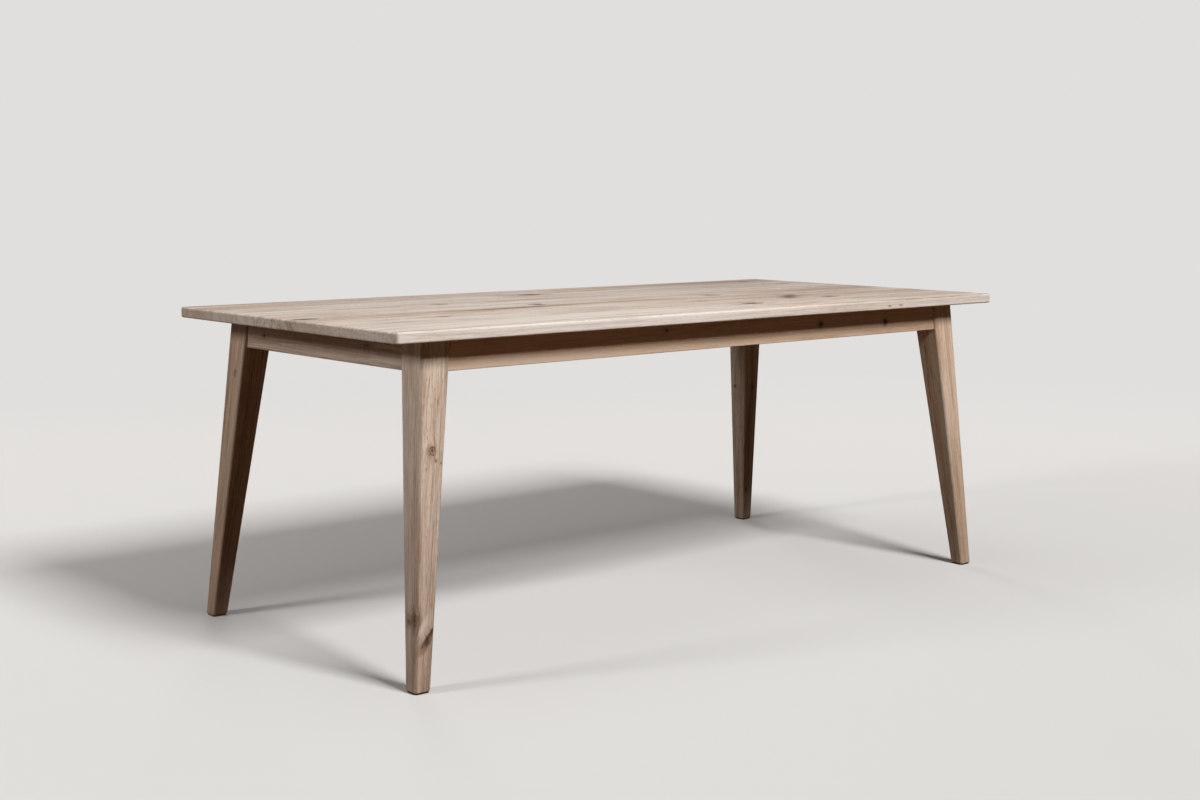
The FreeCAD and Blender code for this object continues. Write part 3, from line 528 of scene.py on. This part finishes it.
def offset_in_reaches(tree, place, timber_frame, mark):
    """How far a place is from a mark's middle, counted in the mark's own reaches."""
    middle = timber_frame.inverted() @ (Vector(mark["spot"]) * MM)
    offset = vector_maths(tree, "SUBTRACT", place, middle)
    if mark["turn"]:
        sockets = {"Vector": offset, "Angle": -mark["turn"]}
        turned = add(tree, "ShaderNodeVectorRotate", sockets, rotation_type="Z_AXIS")
        offset = turned.outputs["Vector"]
    return vector_maths(tree, "DIVIDE", offset, Vector(mark["reach"]) * MM)


def knots_of(tree, place, timber_frame, knots):
    """All a timber's knots together: the strongest of each part, and the swells added up."""
    together = dict.fromkeys(KNOT_PARTS, 0.0)
    if not knots:
        return together
    wobble = swing(tree, cloud(tree, place, "knot_wobble", "Color"), KNOT_WOBBLE)
    breaks = cloud(tree, place, "knot_breaks")
    for mark in knots:
        made = use_group(
            tree,
            KNOT,
            Offset=offset_in_reaches(tree, place, timber_frame, mark),
            Width=mark["reach"][1] * MM,
            Depth=mark["depth"],
            Ring=mark["ring"],
            Wobble=wobble,
            Breaks=breaks,
        )
        for part in KNOT_PARTS:
            how = "ADD" if part == "Swell" else "MAXIMUM"
            together[part] = maths(tree, how, together[part], made[part])
    return together


def plain_oak_colour(tree, tones, growth, halo, end_grain, darker, hue, streaky, end_calm):
    """The wood's own colour, before its marks."""
    shifts = {part: shift * streaky for part, shift in STREAKY_SHIFTS.items()} | STEADY_SHIFTS
    tone = product(tree, growth["Ring"], RING_SHIFT)
    for part, shift in shifts.items():
        tone = total(tree, tone, centred(tree, growth[part], shift))
    figured = less(tree, 1.0, product(tree, end_grain, end_calm))
    tone = maths(tree, "MULTIPLY_ADD", tone, figured, PLAIN_TONE + darker)
    tone = total(tree, tone, product(tree, halo, HALO_SHIFT))
    rosy = soft_step(tree, total(tree, growth["Hue"], hue), "rosy")
    colour = mix_colours(tree, rosy, tones["pale"], tones["rosy"])
    veined = soft_step(tree, growth["Hue"], "veined", *VEIN_SHARES)
    for share, tone_name in (
        (soft_step(tree, tone, "tan"), "tan"),
        (soft_step(tree, tone, "brown"), "brown"),
        (product(tree, growth["Ray"], RAY_SHARE), "ray"),
        (product(tree, growth["Vein"], veined, streaky), "brown"),
        (product(tree, growth["Pore"], PORE_SHARE), "pore"),
        (product(tree, growth["Fleck"], FLECK_SHARE), "pore"),
        (product(tree, end_grain, END_GRAIN_SHARE), "brown"),
    ):
        colour = mix_colours(tree, share, colour, tones[tone_name])
    return colour


def with_stains_and_painted_light(tree, colour, tones, stains_and_painted_light, place, timber_frame, growth):
    """A colour with a timber's dark and pale marks and its patches of painted light and painted
    shade, frayed along its grain.
    """
    for mark in stains_and_painted_light:
        away = vector_maths(tree, "LENGTH", offset_in_reaches(tree, place, timber_frame, mark))
        frayed = total(tree, away, centred(tree, growth["Line"], STAIN_AND_PAINTED_LIGHT_FRAY))
        share = soft_step(tree, frayed, "stain_or_painted_light", end=mark["depth"])
        colour = mix_colours(tree, share, colour, tones[mark["tone"]])
    return colour


def with_faces(tree, colour, tones, faces, normal):
    """A colour with the tones of some faces and arrises, some the wood's own and some painted light
    and painted shade.
    """
    for side in faces:
        towards = vector_maths(tree, "DOT_PRODUCT", normal, side["way"])
        share = soft_step(tree, towards, "face", end=side["depth"])
        colour = mix_colours(tree, share, colour, tones[side["tone"]], side["blend"])
    return colour


def joint_shade_line(tree, place, half, shoulder):
    """How near a place on an apron is to its sloping shoulder, as the share of painted shade there.
    """
    along, across = parts_of(tree, place)[:2]
    slope = product(tree, total(tree, across, half[1]), shoulder)
    to_leg = less(tree, less(tree, half[0], slope), maths(tree, "ABSOLUTE", along))
    return soft_step(tree, to_leg, "joint", end=JOINT_SHADE_SHARE)


def oak_material(name, timber_frame, tones, half, taper=(0, 0, 0), heart=(0.02, -0.09), lean=0.012,
                 ring_width=3.2 * MM, seed=1.0, darker=0.0, hue=0.0, streaky=1.0, end_calm=0.6,
                 footward=0.0, knots=(), stains_and_painted_light=(), faces=(), shoulder=None, whole=None):
    """Oak for one timber. Heart is where the tree's heart runs, across and through its middle."""
    material, tree, shader = new_material(name)
    place = place_in(tree, timber_frame)
    knotty = knots_of(tree, place, timber_frame, knots)
    growth = use_group(
        tree,
        GROWTH,
        Place=place,
        Heart=(0, *heart),
        Lean=lean,
        RingWidth=ring_width,
        Swell=knotty["Swell"],
        Seed=seed,
    )
    normal = add(tree, "ShaderNodeTexCoord").outputs["Normal"]
    grain_way = timber_frame.to_3x3().col[0]
    facing = maths(tree, "ABSOLUTE", vector_maths(tree, "DOT_PRODUCT", normal, grain_way))
    end_grain = soft_step(tree, facing, "end_grain")

    colour = plain_oak_colour(
        tree, tones, growth, knotty["Halo"], end_grain, darker, hue, streaky, end_calm
    )
    colour = with_stains_and_painted_light(tree, colour, tones, stains_and_painted_light, place, timber_frame, growth)
    colour = with_faces(tree, colour, tones, faces, normal)
    for part, (strength, tone) in KNOT_MARKS.items():
        colour = mix_colours(tree, product(tree, knotty[part], strength), colour, tones[tone])

    # Arrises are painted a little paler, a painted highlight, and are smoother. A stave has only
    # those of the whole top.
    if whole is None:
        edge = use_group(tree, ARRIS, Place=place, Half=half, Taper=taper)["Edge"]
    else:
        edge = use_group(tree, ARRIS, Place=place_in(tree, whole[0]), Half=whole[1])["Edge"]
    colour = mix_colours(tree, product(tree, edge, ARRIS_HIGHLIGHT_SHARE), colour, tones["ray"])

    # A leg is a little darker towards its foot, and an apron has painted shade where it meets its
    # legs.
    if footward:
        height = maths(tree, "DIVIDE", parts_of(tree, place)[0], half[0])
        low_down = soft_step(tree, height, "foot", end=footward)
        colour = mix_colours(tree, low_down, colour, tones["brown"], "MULTIPLY")
    if shoulder is not None:
        colour = mix_colours(tree, joint_shade_line(tree, place, half, shoulder), colour, tones["dark"])
    plug(tree, shader.inputs["Base Color"], colour)

    roughness = total(
        tree,
        PLAIN_ROUGHNESS,
        product(tree, growth["Pore"], PORE_ROUGHNESS),
        centred(tree, growth["Drift"], DRIFT_ROUGHNESS),
        product(tree, edge, -ARRIS_SMOOTHNESS),
    )
    plug(tree, shader.inputs["Roughness"], roughness)
    shader.inputs["Specular IOR Level"].default_value = OAK_SHEEN
    relief = total(
        tree,
        *(product(tree, growth[part], height) for part, height in GROWTH_RELIEF.items()),
        centred(tree, growth["Fibre"], FIBRE_RELIEF),
        *(product(tree, knotty[part], height) for part, height in KNOT_RELIEF.items()),
    )
    bump(tree, shader, relief, 1.0, OAK_BUMP)
    return material


def finish_node(name, material):
    """Gives a node of the frame its finish."""
    for slot in NODES[name].material_slots:
        slot.material = material


def finish_timber(name, finish, timber_frame, tones, half, **figure):
    """Gives a node its own timber, sawn and finished."""
    finish_node(name, oak_material(f"{finish}_{name}", timber_frame, tones, half, **figure))


def middle_and_half(name):
    """The middle of a node's box and half its sizes."""
    low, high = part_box(name)
    return (low + high) / 2, (high - low) / 2


def frame_at(middle, along=(1, 0, 0), across=(0, 1, 0)):
    """A timber's own frame: its middle, its grain and the way across it."""
    first = Vector(along).normalized()
    second = Vector(across)
    second = (second - second.dot(first) * first).normalized()
    third = first.cross(second)
    turned = Matrix((first, second, third)).transposed().to_4x4()
    return Matrix.Translation(middle) @ turned


# Top

# How each stave grew, with the knots, stains and pale patches that the photograph shows on it.
STAVES = {
    "top_board_back": dict(
        heart=(-0.06, -0.10), lean=0.010, ring_width=3.4 * MM, seed=2.0, darker=0.12, hue=0.08,
        knots=[
            knot((-52, 288, 760), (30, 20, 90), 0.75),
            knot((862, 369, 760), (20, 12, 90), 0.6),
        ],
        stains_and_painted_light=[
            stain_or_painted_light((-100, 303, 760), (110, 40, 60), 0.40, "brown"),
            stain_or_painted_light((780, 370, 760), (520, 110, 60), 0.48, "brown"),
        ],
    ),
    "top_board_back_middle": dict(
        heart=(0.09, -0.07), lean=0.014, ring_width=2.8 * MM, seed=3.4, darker=-0.10, hue=-0.10,
        knots=[
            knot((-52, 288, 760), (30, 20, 90), 0.75),
            knot((-462, 137, 760), (17, 13, 90), 0.8),
            knot((889, 226, 760), (22, 12, 90), 0.5),
        ],
        stains_and_painted_light=[
            stain_or_painted_light((-95, 268, 760), (110, 26, 60), 0.45, "brown"),
            stain_or_painted_light((650, 245, 760), (600, 75, 60), 0.32, "brown"),
            stain_or_painted_light((-860, 240, 760), (220, 60, 60), 0.28, "brown"),
        ],
    ),
    "top_board_middle": dict(
        heart=(-0.13, -0.035), lean=-0.010, ring_width=3.8 * MM, seed=5.1, end_calm=0.0,
        knots=[
            knot((-270, -10, 760), (21, 18, 90), 0.85),
            knot((-965, -54, 760), (28, 14, 90), 0.9),
            knot((325, -25, 760), (26, 18, 90), 0.5),
        ],
        stains_and_painted_light=[
            stain_or_painted_light((-50, 75, 760), (800, 44, 60), 0.30, "ray"),
            stain_or_painted_light((860, -15, 760), (520, 90, 60), 0.46, "brown"),
            stain_or_painted_light((-400, -68, 760), (290, 17, 60), 0.85, "olive"),
            stain_or_painted_light((-760, -70, 760), (300, 11, 60), 0.55, "olive"),
            stain_or_painted_light((10, -58, 760), (260, 16, 60), 0.5),
            stain_or_painted_light((-232, -32, 760), (56, 11, 60), 0.55, "knot", -0.57),
        ],
    ),
    "top_board_front_middle": dict(
        heart=(0.04, -0.12), lean=0.011, ring_width=3.1 * MM, seed=7.7, hue=0.14,
        knots=[
            knot((137, -175, 760), (14, 10, 90), 0.7),
            knot((550, -250, 760), (27, 16, 90), 0.9),
            knot((-681, -175, 760), (14, 10, 90), 0.7),
            knot((460, -186, 760), (64, 15, 90), 0.5, 0.69, ring=0.35),
        ],
        stains_and_painted_light=[
            stain_or_painted_light((-400, -72, 760), (290, 12, 60), 0.85, "olive"),
            stain_or_painted_light((-760, -72, 760), (300, 9, 60), 0.5, "olive"),
            stain_or_painted_light((-650, -235, 760), (620, 70, 60), 0.55, "ray"),
            stain_or_painted_light((600, -170, 760), (560, 110, 60), 0.22, "brown"),
            stain_or_painted_light((458, -186, 760), (118, 46, 60), 0.45, "grey", 0.69),
            stain_or_painted_light((462, -184, 760), (90, 24, 60), 0.45, "grey", 0.69),
        ],
    ),
    "top_board_front": dict(
        heart=(-0.03, -0.11), lean=-0.009, ring_width=3.0 * MM, seed=9.3, darker=-0.10, hue=0.06,
        # The pale tone on the front edge is painted light.
        faces=[face((0, -1, 0), 0.42, "ray")],
        knots=[
            knot((187, -308, 760), (30, 18, 90), 0.8),
            knot((190, -306, 760), (17, 10, 60), 1.0),
            knot((556, -450, 745), (5, 4, 3), 0.55, ring=0.2),
            knot((602, -450, 745), (6, 4, 3), 0.55, ring=0.2),
        ],
        stains_and_painted_light=[
            stain_or_painted_light((158, -314, 760), (66, 12, 60), 0.7),
            stain_or_painted_light((-460, -345, 760), (900, 115, 60), 0.58, "ray"),
            stain_or_painted_light((520, -400, 760), (300, 50, 60), 0.4, "ray"),
            stain_or_painted_light((-998, -446, 747), (7, 7, 16), 0.55),
        ],
    ),
}


def finish_top():
    """The staves of the top, each cut from its own board."""
    low = Vector((CAD_BOX[0].x, CAD_BOX[0].y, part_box("top_board_back")[0].z))
    high = CAD_BOX[1]
    look = dict(whole=(frame_at((low + high) / 2), (high - low) / 2), streaky=TOP_STREAKINESS)
    for name, figure in STAVES.items():
        middle, half = middle_and_half(name)
        finish_timber(name, "oiled_oak", frame_at(middle), TOP_TONES, half, **look, **figure)


# Frame

# How each leg grew, with the tones of its faces and arrises and the marks that show on it; some of
# these are painted light and painted shade.
LEGS = {
    "leg_front_left": dict(
        heart=(0.06, -0.05), seed=11.0, ring_width=3.0 * MM, hue=-0.08, streaky=1.2,
        # The brown on the arris between the left and front faces is painted shade, and the pale
        # tone on the left face is painted light.
        faces=[
            face((-1, -1, 0), 0.5, "brown"),
            face((-1, 0, 0), 0.2, "ray"),
        ],
        knots=[
            knot((-882, -407, 504), (9, 6.5, 14), 0.35, ring=1.0),
            knot((-882, -407, 505), (4, 3, 14), 1.0),
            knot((-892, -407, 507), (11, 5, 14), 0.2, ring=0.5),
            knot((-896, -407, 487), (24, 6, 14), 0.1, ring=0.3),
            knot((-874, -409, 482), (3, 2, 8), 0.8),
            knot((-862, -409, 476), (2.5, 2, 8), 0.8),
            knot((-862, -400, 604), (6, 1.5, 8), 0.6),
            knot((-882, -397, 646), (12, 1.5, 8), 0.5),
            knot((-917, -435, 116), (27, 4.5, 14), 0.85, turn=0.67),
            knot((-906, -434, 130), (11, 2.5, 14), 0.9, turn=0.67),
            knot((-919, -435, 106), (9, 5.5, 14), 0.8, turn=0.67),
            knot((-947, -424, 155), (15, 11, 10), 1.0, ring=0.6),
            knot((-948, -414, 163), (6, 6, 8), 0.7),
            knot((-948, -406, 148), (8, 6, 7), 0.6),
        ],
        stains_and_painted_light=[
            stain_or_painted_light((-948, -412, 153), (22, 14, 26), 0.8),
            stain_or_painted_light((-947, -418, 110), (44, 5, 4), 0.3),
            stain_or_painted_light((-918, -435, 111), (38, 11, 14), 0.36, "knot", 0.67),
            stain_or_painted_light((-930, -437, 92), (22, 8, 12), 0.5, "knot", 0.67),
            stain_or_painted_light((-929, -434, 140), (34, 9, 12), 1.0, "ray", 0.5),
            stain_or_painted_light((-926, -437, 97), (18, 9, 12), 0.5, "rust", 0.67),
            stain_or_painted_light((-886, -407, 500), (24, 12, 14), 0.5, "rust"),
        ],
    ),
    "leg_front_right": dict(
        heart=(-0.05, 0.07), seed=12.6, ring_width=2.7 * MM, darker=-0.08, hue=0.08, streaky=1.2,
        # The brown on the arris between the side and front faces is painted shade, and the bright
        # tone laid over the inner side face is painted light.
        faces=[
            face((-1, -1, 0), 0.2, "brown"),
            face((-1, 0, 0), 0.46, "bright", "DODGE"),
            face((0, -1, 0), 0.22, "amber"),
        ],
        # These brown patches on the inner side face, near its front arris and under the top, are
        # painted shade.
        stains_and_painted_light=[
            stain_or_painted_light((870, -390, 350), (420, 14, 6), 0.38, "brown"),
            stain_or_painted_light((846, -375, 640), (120, 14, 12), 0.5, "brown"),
        ],
    ),
    "leg_back_left": dict(
        heart=(0.07, 0.05), seed=14.1, ring_width=3.3 * MM, darker=0.46, hue=0.15, streaky=0.8,
        # The brown on the arris between the left and front faces is painted shade.
        faces=[
            face((-1, -1, 0), 0.5, "brown"),
            face((-1, 0, 0), 0.15, "amber"),
        ],
        knots=[knot((-907, 360, 602), (9, 6, 2.5), 0.8)],
        # The dark patch at the foot of the front face is painted shadow.
        stains_and_painted_light=[stain_or_painted_light((-936, 396, 30), (110, 40, 14), 0.62)],
    ),
    "leg_back_right": dict(
        heart=(-0.06, -0.06), seed=15.9, ring_width=2.9 * MM, darker=-0.16, streaky=1.2,
        knots=[
            knot((860, 392, 433), (7, 6, 4), 0.8),
            knot((898, 352, 431), (7, 4, 6), 0.8),
            knot((917, 392, 98), (7, 4, 6), 0.8),
        ],
        # The dark patch at the foot of the front face is painted shadow.
        stains_and_painted_light=[stain_or_painted_light((936, 396, 30), (110, 40, 14), 0.4)],
    ),
}


def section_at(name, height):
    """The middle and half sizes of a node's section near a height."""
    corners = [corner.co for corner in NODES[name].data.vertices]
    near = [place for place in corners if abs(place.z - height) < SECTION_BAND]
    low = Vector((min(place.x for place in near), min(place.y for place in near), height))
    high = Vector((max(place.x for place in near), max(place.y for place in near), height))
    return (low + high) / 2, (high - low) / 2


def ends_of_leg(name):
    """The middle and half sizes of a leg's sections at its head and at its foot."""
    low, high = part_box(name)
    return section_at(name, high.z), section_at(name, low.z)


def finish_legs():
    """The legs, whose grain runs up their slope."""
    for name, figure in LEGS.items():
        (head, head_half), (foot, foot_half) = ends_of_leg(name)
        timber = frame_at((head + foot) / 2, along=head - foot, across=(1, 0, 0))
        length = (head - foot).length
        half = Vector((length, head_half.x + foot_half.x, head_half.y + foot_half.y)) / 2
        taper = Vector((0, head_half.x - foot_half.x, head_half.y - foot_half.y)) / length
        look = dict(taper=taper, footward=LEG_FOOT_SHARE)
        finish_timber(name, "oiled_oak", timber, FRAME_TONES, half, **look, **figure)


# How each apron grew, and its marks, some of which are painted light and painted shade.
APRONS = {
    "apron_front": dict(
        heart=(-0.03, 0.09), seed=21.0, lean=0.008, ring_width=3.0 * MM, darker=-0.06, hue=0.10,
        faces=[face((0, -1, 0), 0.48, "amber")],
        knots=[
            knot((357, -388, 704), (12, 10, 40), 1.0, ring=0.5),
            knot((616, -388, 697), (9, 12, 40), 1.0, ring=0.5),
            knot((-191, -388, 717), (8, 6, 40), 0.8, ring=0.4),
        ],
        # The pale bands along the lower edge are painted light, below the shade of the top.
        stains_and_painted_light=[
            stain_or_painted_light((-600, -388, 668), (560, 26, 60), 0.7, "ray"),
            stain_or_painted_light((420, -388, 662), (800, 12, 60), 0.45, "ray"),
        ],
    ),
    "apron_back": dict(heart=(0.05, -0.08), seed=22.3, lean=-0.009, ring_width=3.2 * MM),
    "apron_left": dict(
        heart=(0.04, -0.09), seed=23.8, lean=0.010, ring_width=2.9 * MM, darker=0.16, streaky=0.8,
        knots=[
            knot((-893, 244, 699), (7, 5, 40), 0.8, ring=0.4),
            knot((-893, -185, 707), (12, 8, 40), 0.35),
        ],
        # The brown band along the upper edge is painted shade under the top's overhang, and the
        # pale bands below it are painted light.
        stains_and_painted_light=[
            stain_or_painted_light((-893, 0, 732), (520, 26, 60), 0.40, "brown"),
            stain_or_painted_light((-893, 0, 676), (520, 10, 60), 0.35, "ray"),
            stain_or_painted_light((-893, -260, 682), (170, 16, 60), 0.55, "ray"),
        ],
    ),
    "apron_right": dict(heart=(-0.04, 0.08), seed=24.9, lean=0.009, ring_width=3.1 * MM),
}


def finish_aprons():
    """The aprons, whose shoulders lean as the legs' inner faces do."""
    (head, head_half), (foot, foot_half) = ends_of_leg("leg_front_left")
    lean = ((head + head_half) - (foot + foot_half)) / (head.z - foot.z)
    for name, figure in APRONS.items():
        middle, half = middle_and_half(name)
        if half.x > half.y:
            along, own_half, shoulder = (1, 0, 0), (half.x, half.z, half.y), lean.x
        else:
            along, own_half, shoulder = (0, 1, 0), (half.y, half.z, half.x), lean.y
        timber = frame_at(middle, along, (0, 0, 1))
        look = dict(shoulder=shoulder)
        finish_timber(name, "oiled_oak", timber, FRAME_TONES, own_half, **look, **figure)


# Timbers out of sight: the way their grain runs, the way across it, and how they grew.
BLOCK_HEART = (0.03, 0.07)
INNER_TIMBERS = {
    "corner_block_front_left": ((1, -1, 0), (0, 0, 1), dict(seed=31.0, heart=BLOCK_HEART)),
    "corner_block_back_right": ((1, -1, 0), (0, 0, 1), dict(seed=32.0, heart=BLOCK_HEART)),
    "corner_block_front_right": ((1, 1, 0), (0, 0, 1), dict(seed=33.0, heart=BLOCK_HEART)),
    "corner_block_back_left": ((1, 1, 0), (0, 0, 1), dict(seed=34.0, heart=BLOCK_HEART)),
    "centre_rail": ((0, 1, 0), (0, 0, 1), dict(seed=36.5)),
    "top_buttons": ((1, 0, 0), (0, 1, 0), dict(seed=38.5)),
}


def finish_inner_timber():
    """The blocks, the rail and the buttons."""
    for name, (along, across, figure) in INNER_TIMBERS.items():
        middle, half = middle_and_half(name)
        own_half = (half.y, half.z, half.x) if name == "centre_rail" else half * NO_ARRIS
        timber = frame_at(middle, along, across)
        finish_timber(name, "planed", timber, INNER_TONES, own_half, **figure)


# Small parts: their tones, the span of their roughness and the height and strength of their relief.
BEECH_TONES = {
    "pale": paint(214, 180, 146),
    "tan": paint(196, 156, 122),
    "fleck": paint(150, 106, 76),
}
BEECH_ROUGHNESS = (0.5, 0.7)
BEECH_RELIEF = (0.1 * MM, 0.6)
ZINC_TONES = {
    "bright": paint(196, 200, 204),
    "grey": paint(166, 166, 160),
    "scuff": paint(130, 128, 122),
}
ZINC_ROUGHNESS = (0.26, 0.44)
ZINC_RELIEF = (0.03 * MM, 0.7)
GLIDE_TONES = {
    "dark": paint(52, 44, 37),
    "rubbed": paint(74, 66, 58),
}
GLIDE_ROUGHNESS = (0.62, 0.44)
GLIDE_RELIEF = (0.08 * MM, 0.6)


def beech_material():
    """Beech: even, pale and pinkish, with short dark flecks."""
    material, tree, shader = new_material("turned_beech")
    place = add(tree, "ShaderNodeTexCoord").outputs["Object"]
    flecks = cloud(tree, place, "beech_flecks")
    drift = soft_step(tree, cloud(tree, place, "beech_drift"), "beech_tan")
    colour = mix_colours(tree, drift, BEECH_TONES["pale"], BEECH_TONES["tan"])
    flecked = soft_step(tree, flecks, "beech_fleck")
    colour = mix_colours(tree, flecked, colour, BEECH_TONES["fleck"])
    plug(tree, shader.inputs["Base Color"], colour)
    rough = soft_step(tree, flecks, "beech_rough", *BEECH_ROUGHNESS)
    plug(tree, shader.inputs["Roughness"], rough)
    bump(tree, shader, flecks, *BEECH_RELIEF)
    return material


def zinc_material():
    """Bright zinc plate on steel, a little cloudy and scuffed."""
    material, tree, shader = new_material("zinc_plate")
    place = add(tree, "ShaderNodeTexCoord").outputs["Object"]
    bloom = cloud(tree, place, "zinc_bloom")
    scuffs = cloud(tree, place, "zinc_scuffs")
    cloudy = soft_step(tree, bloom, "zinc_grey")
    colour = mix_colours(tree, cloudy, ZINC_TONES["bright"], ZINC_TONES["grey"])
    scuffed = soft_step(tree, scuffs, "zinc_scuff")
    colour = mix_colours(tree, scuffed, colour, ZINC_TONES["scuff"])
    plug(tree, shader.inputs["Base Color"], colour)
    shader.inputs["Metallic"].default_value = 1.0
    rough = soft_step(tree, bloom, "zinc_rough", *ZINC_ROUGHNESS)
    plug(tree, shader.inputs["Roughness"], rough)
    bump(tree, shader, scuffs, *ZINC_RELIEF)
    return material


def glide_material():
    """Dark moulded plastic with a fine matt grain and rubbed patches."""
    material, tree, shader = new_material("moulded_glide")
    place = add(tree, "ShaderNodeTexCoord").outputs["Object"]
    rubbing = cloud(tree, place, "glide_rubbing")
    rubbed = soft_step(tree, rubbing, "glide_rubbed")
    colour = mix_colours(tree, rubbed, GLIDE_TONES["dark"], GLIDE_TONES["rubbed"])
    plug(tree, shader.inputs["Base Color"], colour)
    rough = soft_step(tree, rubbing, "glide_smooth", *GLIDE_ROUGHNESS)
    plug(tree, shader.inputs["Roughness"], rough)
    bump(tree, shader, cloud(tree, place, "glide_grain"), *GLIDE_RELIEF)
    return material


def finish_small_parts():
    """The dowels, the steel and the glides."""
    beech = beech_material()
    zinc = zinc_material()
    glide = glide_material()
    for name in NODES:
        if name.endswith("dowels"):
            finish_node(name, beech)
        elif "bolt" in name or name.endswith("screws"):
            finish_node(name, zinc)
        elif name.startswith("glide"):
            finish_node(name, glide)


# Stage

def light_on_floor(tree, place, lamp):
    """What a lamp gives a place on the bare floor, by its distance, its height and its turn."""
    stand = Vector(lamp["place"])
    aim = LAMP_TARGET - stand
    ray = vector_maths(tree, "SUBTRACT", place, stand)
    turned = maths(tree, "MAXIMUM", vector_maths(tree, "DOT_PRODUCT", ray, aim.normalized()), 0.0)
    # Light falls with the square of the distance, and each of the two slants is divided by it once.
    spread = maths(tree, "POWER", vector_maths(tree, "LENGTH", ray), 4.0)
    strength = lamp["share"] * aim.length_squared * stand.z
    return maths(tree, "DIVIDE", product(tree, turned, strength), spread)


def shader_mix(tree, share, first, second):
    """Two shaders mixed by a share."""
    return add(tree, "ShaderNodeMixShader", {0: share, 1: first, 2: second}).outputs[0]


def make_floor():
    """A plain pale floor, evened out under the lamps, that runs out into the backdrop."""
    bpy.ops.object.select_all(action="DESELECT")
    bpy.ops.mesh.primitive_plane_add(size=FLOOR_REACH * 2, location=(0, 0, 0))
    floor = bpy.context.object
    floor.name = "floor"
    material = bpy.data.materials.new("pale_floor")
    material.use_nodes = True
    tree = material.node_tree
    tree.nodes.clear()
    place = add(tree, "ShaderNodeTexCoord").outputs["Object"]
    light = total(tree, *(light_on_floor(tree, place, lamp) for lamp in LAMPS.values()))
    lift = maths(tree, "MINIMUM", maths(tree, "DIVIDE", FLOOR_LEVEL, light), FLOOR_LIFT_LIMIT)
    colour = vector_maths(tree, "SCALE", BACKDROP[:3], scale=lift)
    near = add(tree, "ShaderNodeBsdfDiffuse", {"Color": colour}).outputs[0]
    far = add(tree, "ShaderNodeEmission", {"Color": BACKDROP, "Strength": 1.0}).outputs[0]
    fade = soft_step(tree, vector_maths(tree, "LENGTH", place), "floor_fade")
    seen = shader_mix(tree, fade, near, far)

    # Other rays than the camera's meet a darker floor, and from below the floor is clear.
    bounce = add(tree, "ShaderNodeBsdfDiffuse", {"Color": FLOOR_BOUNCE}).outputs[0]
    camera_ray = add(tree, "ShaderNodeLightPath").outputs["Is Camera Ray"]
    whole = shader_mix(tree, camera_ray, bounce, seen)
    behind = add(tree, "ShaderNodeNewGeometry").outputs["Backfacing"]
    clear = add(tree, "ShaderNodeBsdfTransparent").outputs[0]
    add(tree, "ShaderNodeOutputMaterial", {"Surface": shader_mix(tree, behind, whole, clear)})
    floor.data.materials.append(material)


def make_world():
    """A pale backdrop for the camera, a grey surround for glosses and hardly any light besides."""
    world = bpy.data.worlds.new("studio")
    bpy.context.scene.world = world
    world.use_nodes = True
    tree = world.node_tree
    path = add(tree, "ShaderNodeLightPath").outputs
    dim = tuple(part * AMBIENT_SHARE for part in AMBIENT[:3]) + (1.0,)
    colour = mix_colours(tree, path["Is Glossy Ray"], dim, SURROUND)
    colour = mix_colours(tree, path["Is Camera Ray"], colour, BACKDROP)
    plug(tree, tree.nodes["Background"].inputs["Color"], colour)


def make_lamp(name, place, share, size, glossy=True):
    """A square soft lamp that gives a surface at the target a share of its own colour."""
    # A matt surface shows a lamp's power divided by the squares of pi and of the distance.
    aim = LAMP_TARGET - Vector(place)
    turn = aim.to_track_quat("-Z", "Y").to_euler()
    bpy.ops.object.light_add(type="AREA", location=place, rotation=turn)
    lamp = bpy.context.object
    lamp.name = name
    lamp.data.shape = "SQUARE"
    lamp.data.size = size
    lamp.data.energy = share * math.pi ** 2 * aim.length_squared
    lamp.visible_glossy = glossy


def make_camera():
    """The camera at the photograph's angle."""
    heading = Vector((math.sin(CAMERA_HEADING), math.cos(CAMERA_HEADING), 0))
    forward = heading * math.cos(CAMERA_TILT) + Vector((0, 0, math.sin(CAMERA_TILT)))
    level = Vector((math.cos(CAMERA_HEADING), -math.sin(CAMERA_HEADING), 0))
    upward = level.cross(forward)
    right = math.cos(CAMERA_ROLL) * level + math.sin(CAMERA_ROLL) * upward
    top = right.cross(forward)
    turned = Matrix((right, top, -forward)).transposed().to_4x4()
    bpy.ops.object.camera_add()
    camera = bpy.context.object
    camera.matrix_world = Matrix.Translation(CAMERA_PLACE) @ turned
    camera.data.lens = CAMERA_LENS
    camera.data.sensor_width = CAMERA_SENSOR
    camera.data.sensor_fit = "HORIZONTAL"
    bpy.context.scene.camera = camera


finish_top()
finish_legs()
finish_aprons()
finish_inner_timber()
finish_small_parts()
make_floor()
make_world()
for lamp_name, lamp in LAMPS.items():
    make_lamp(lamp_name, **lamp)
make_camera()
bpy.context.scene.view_settings.view_transform = "Standard"
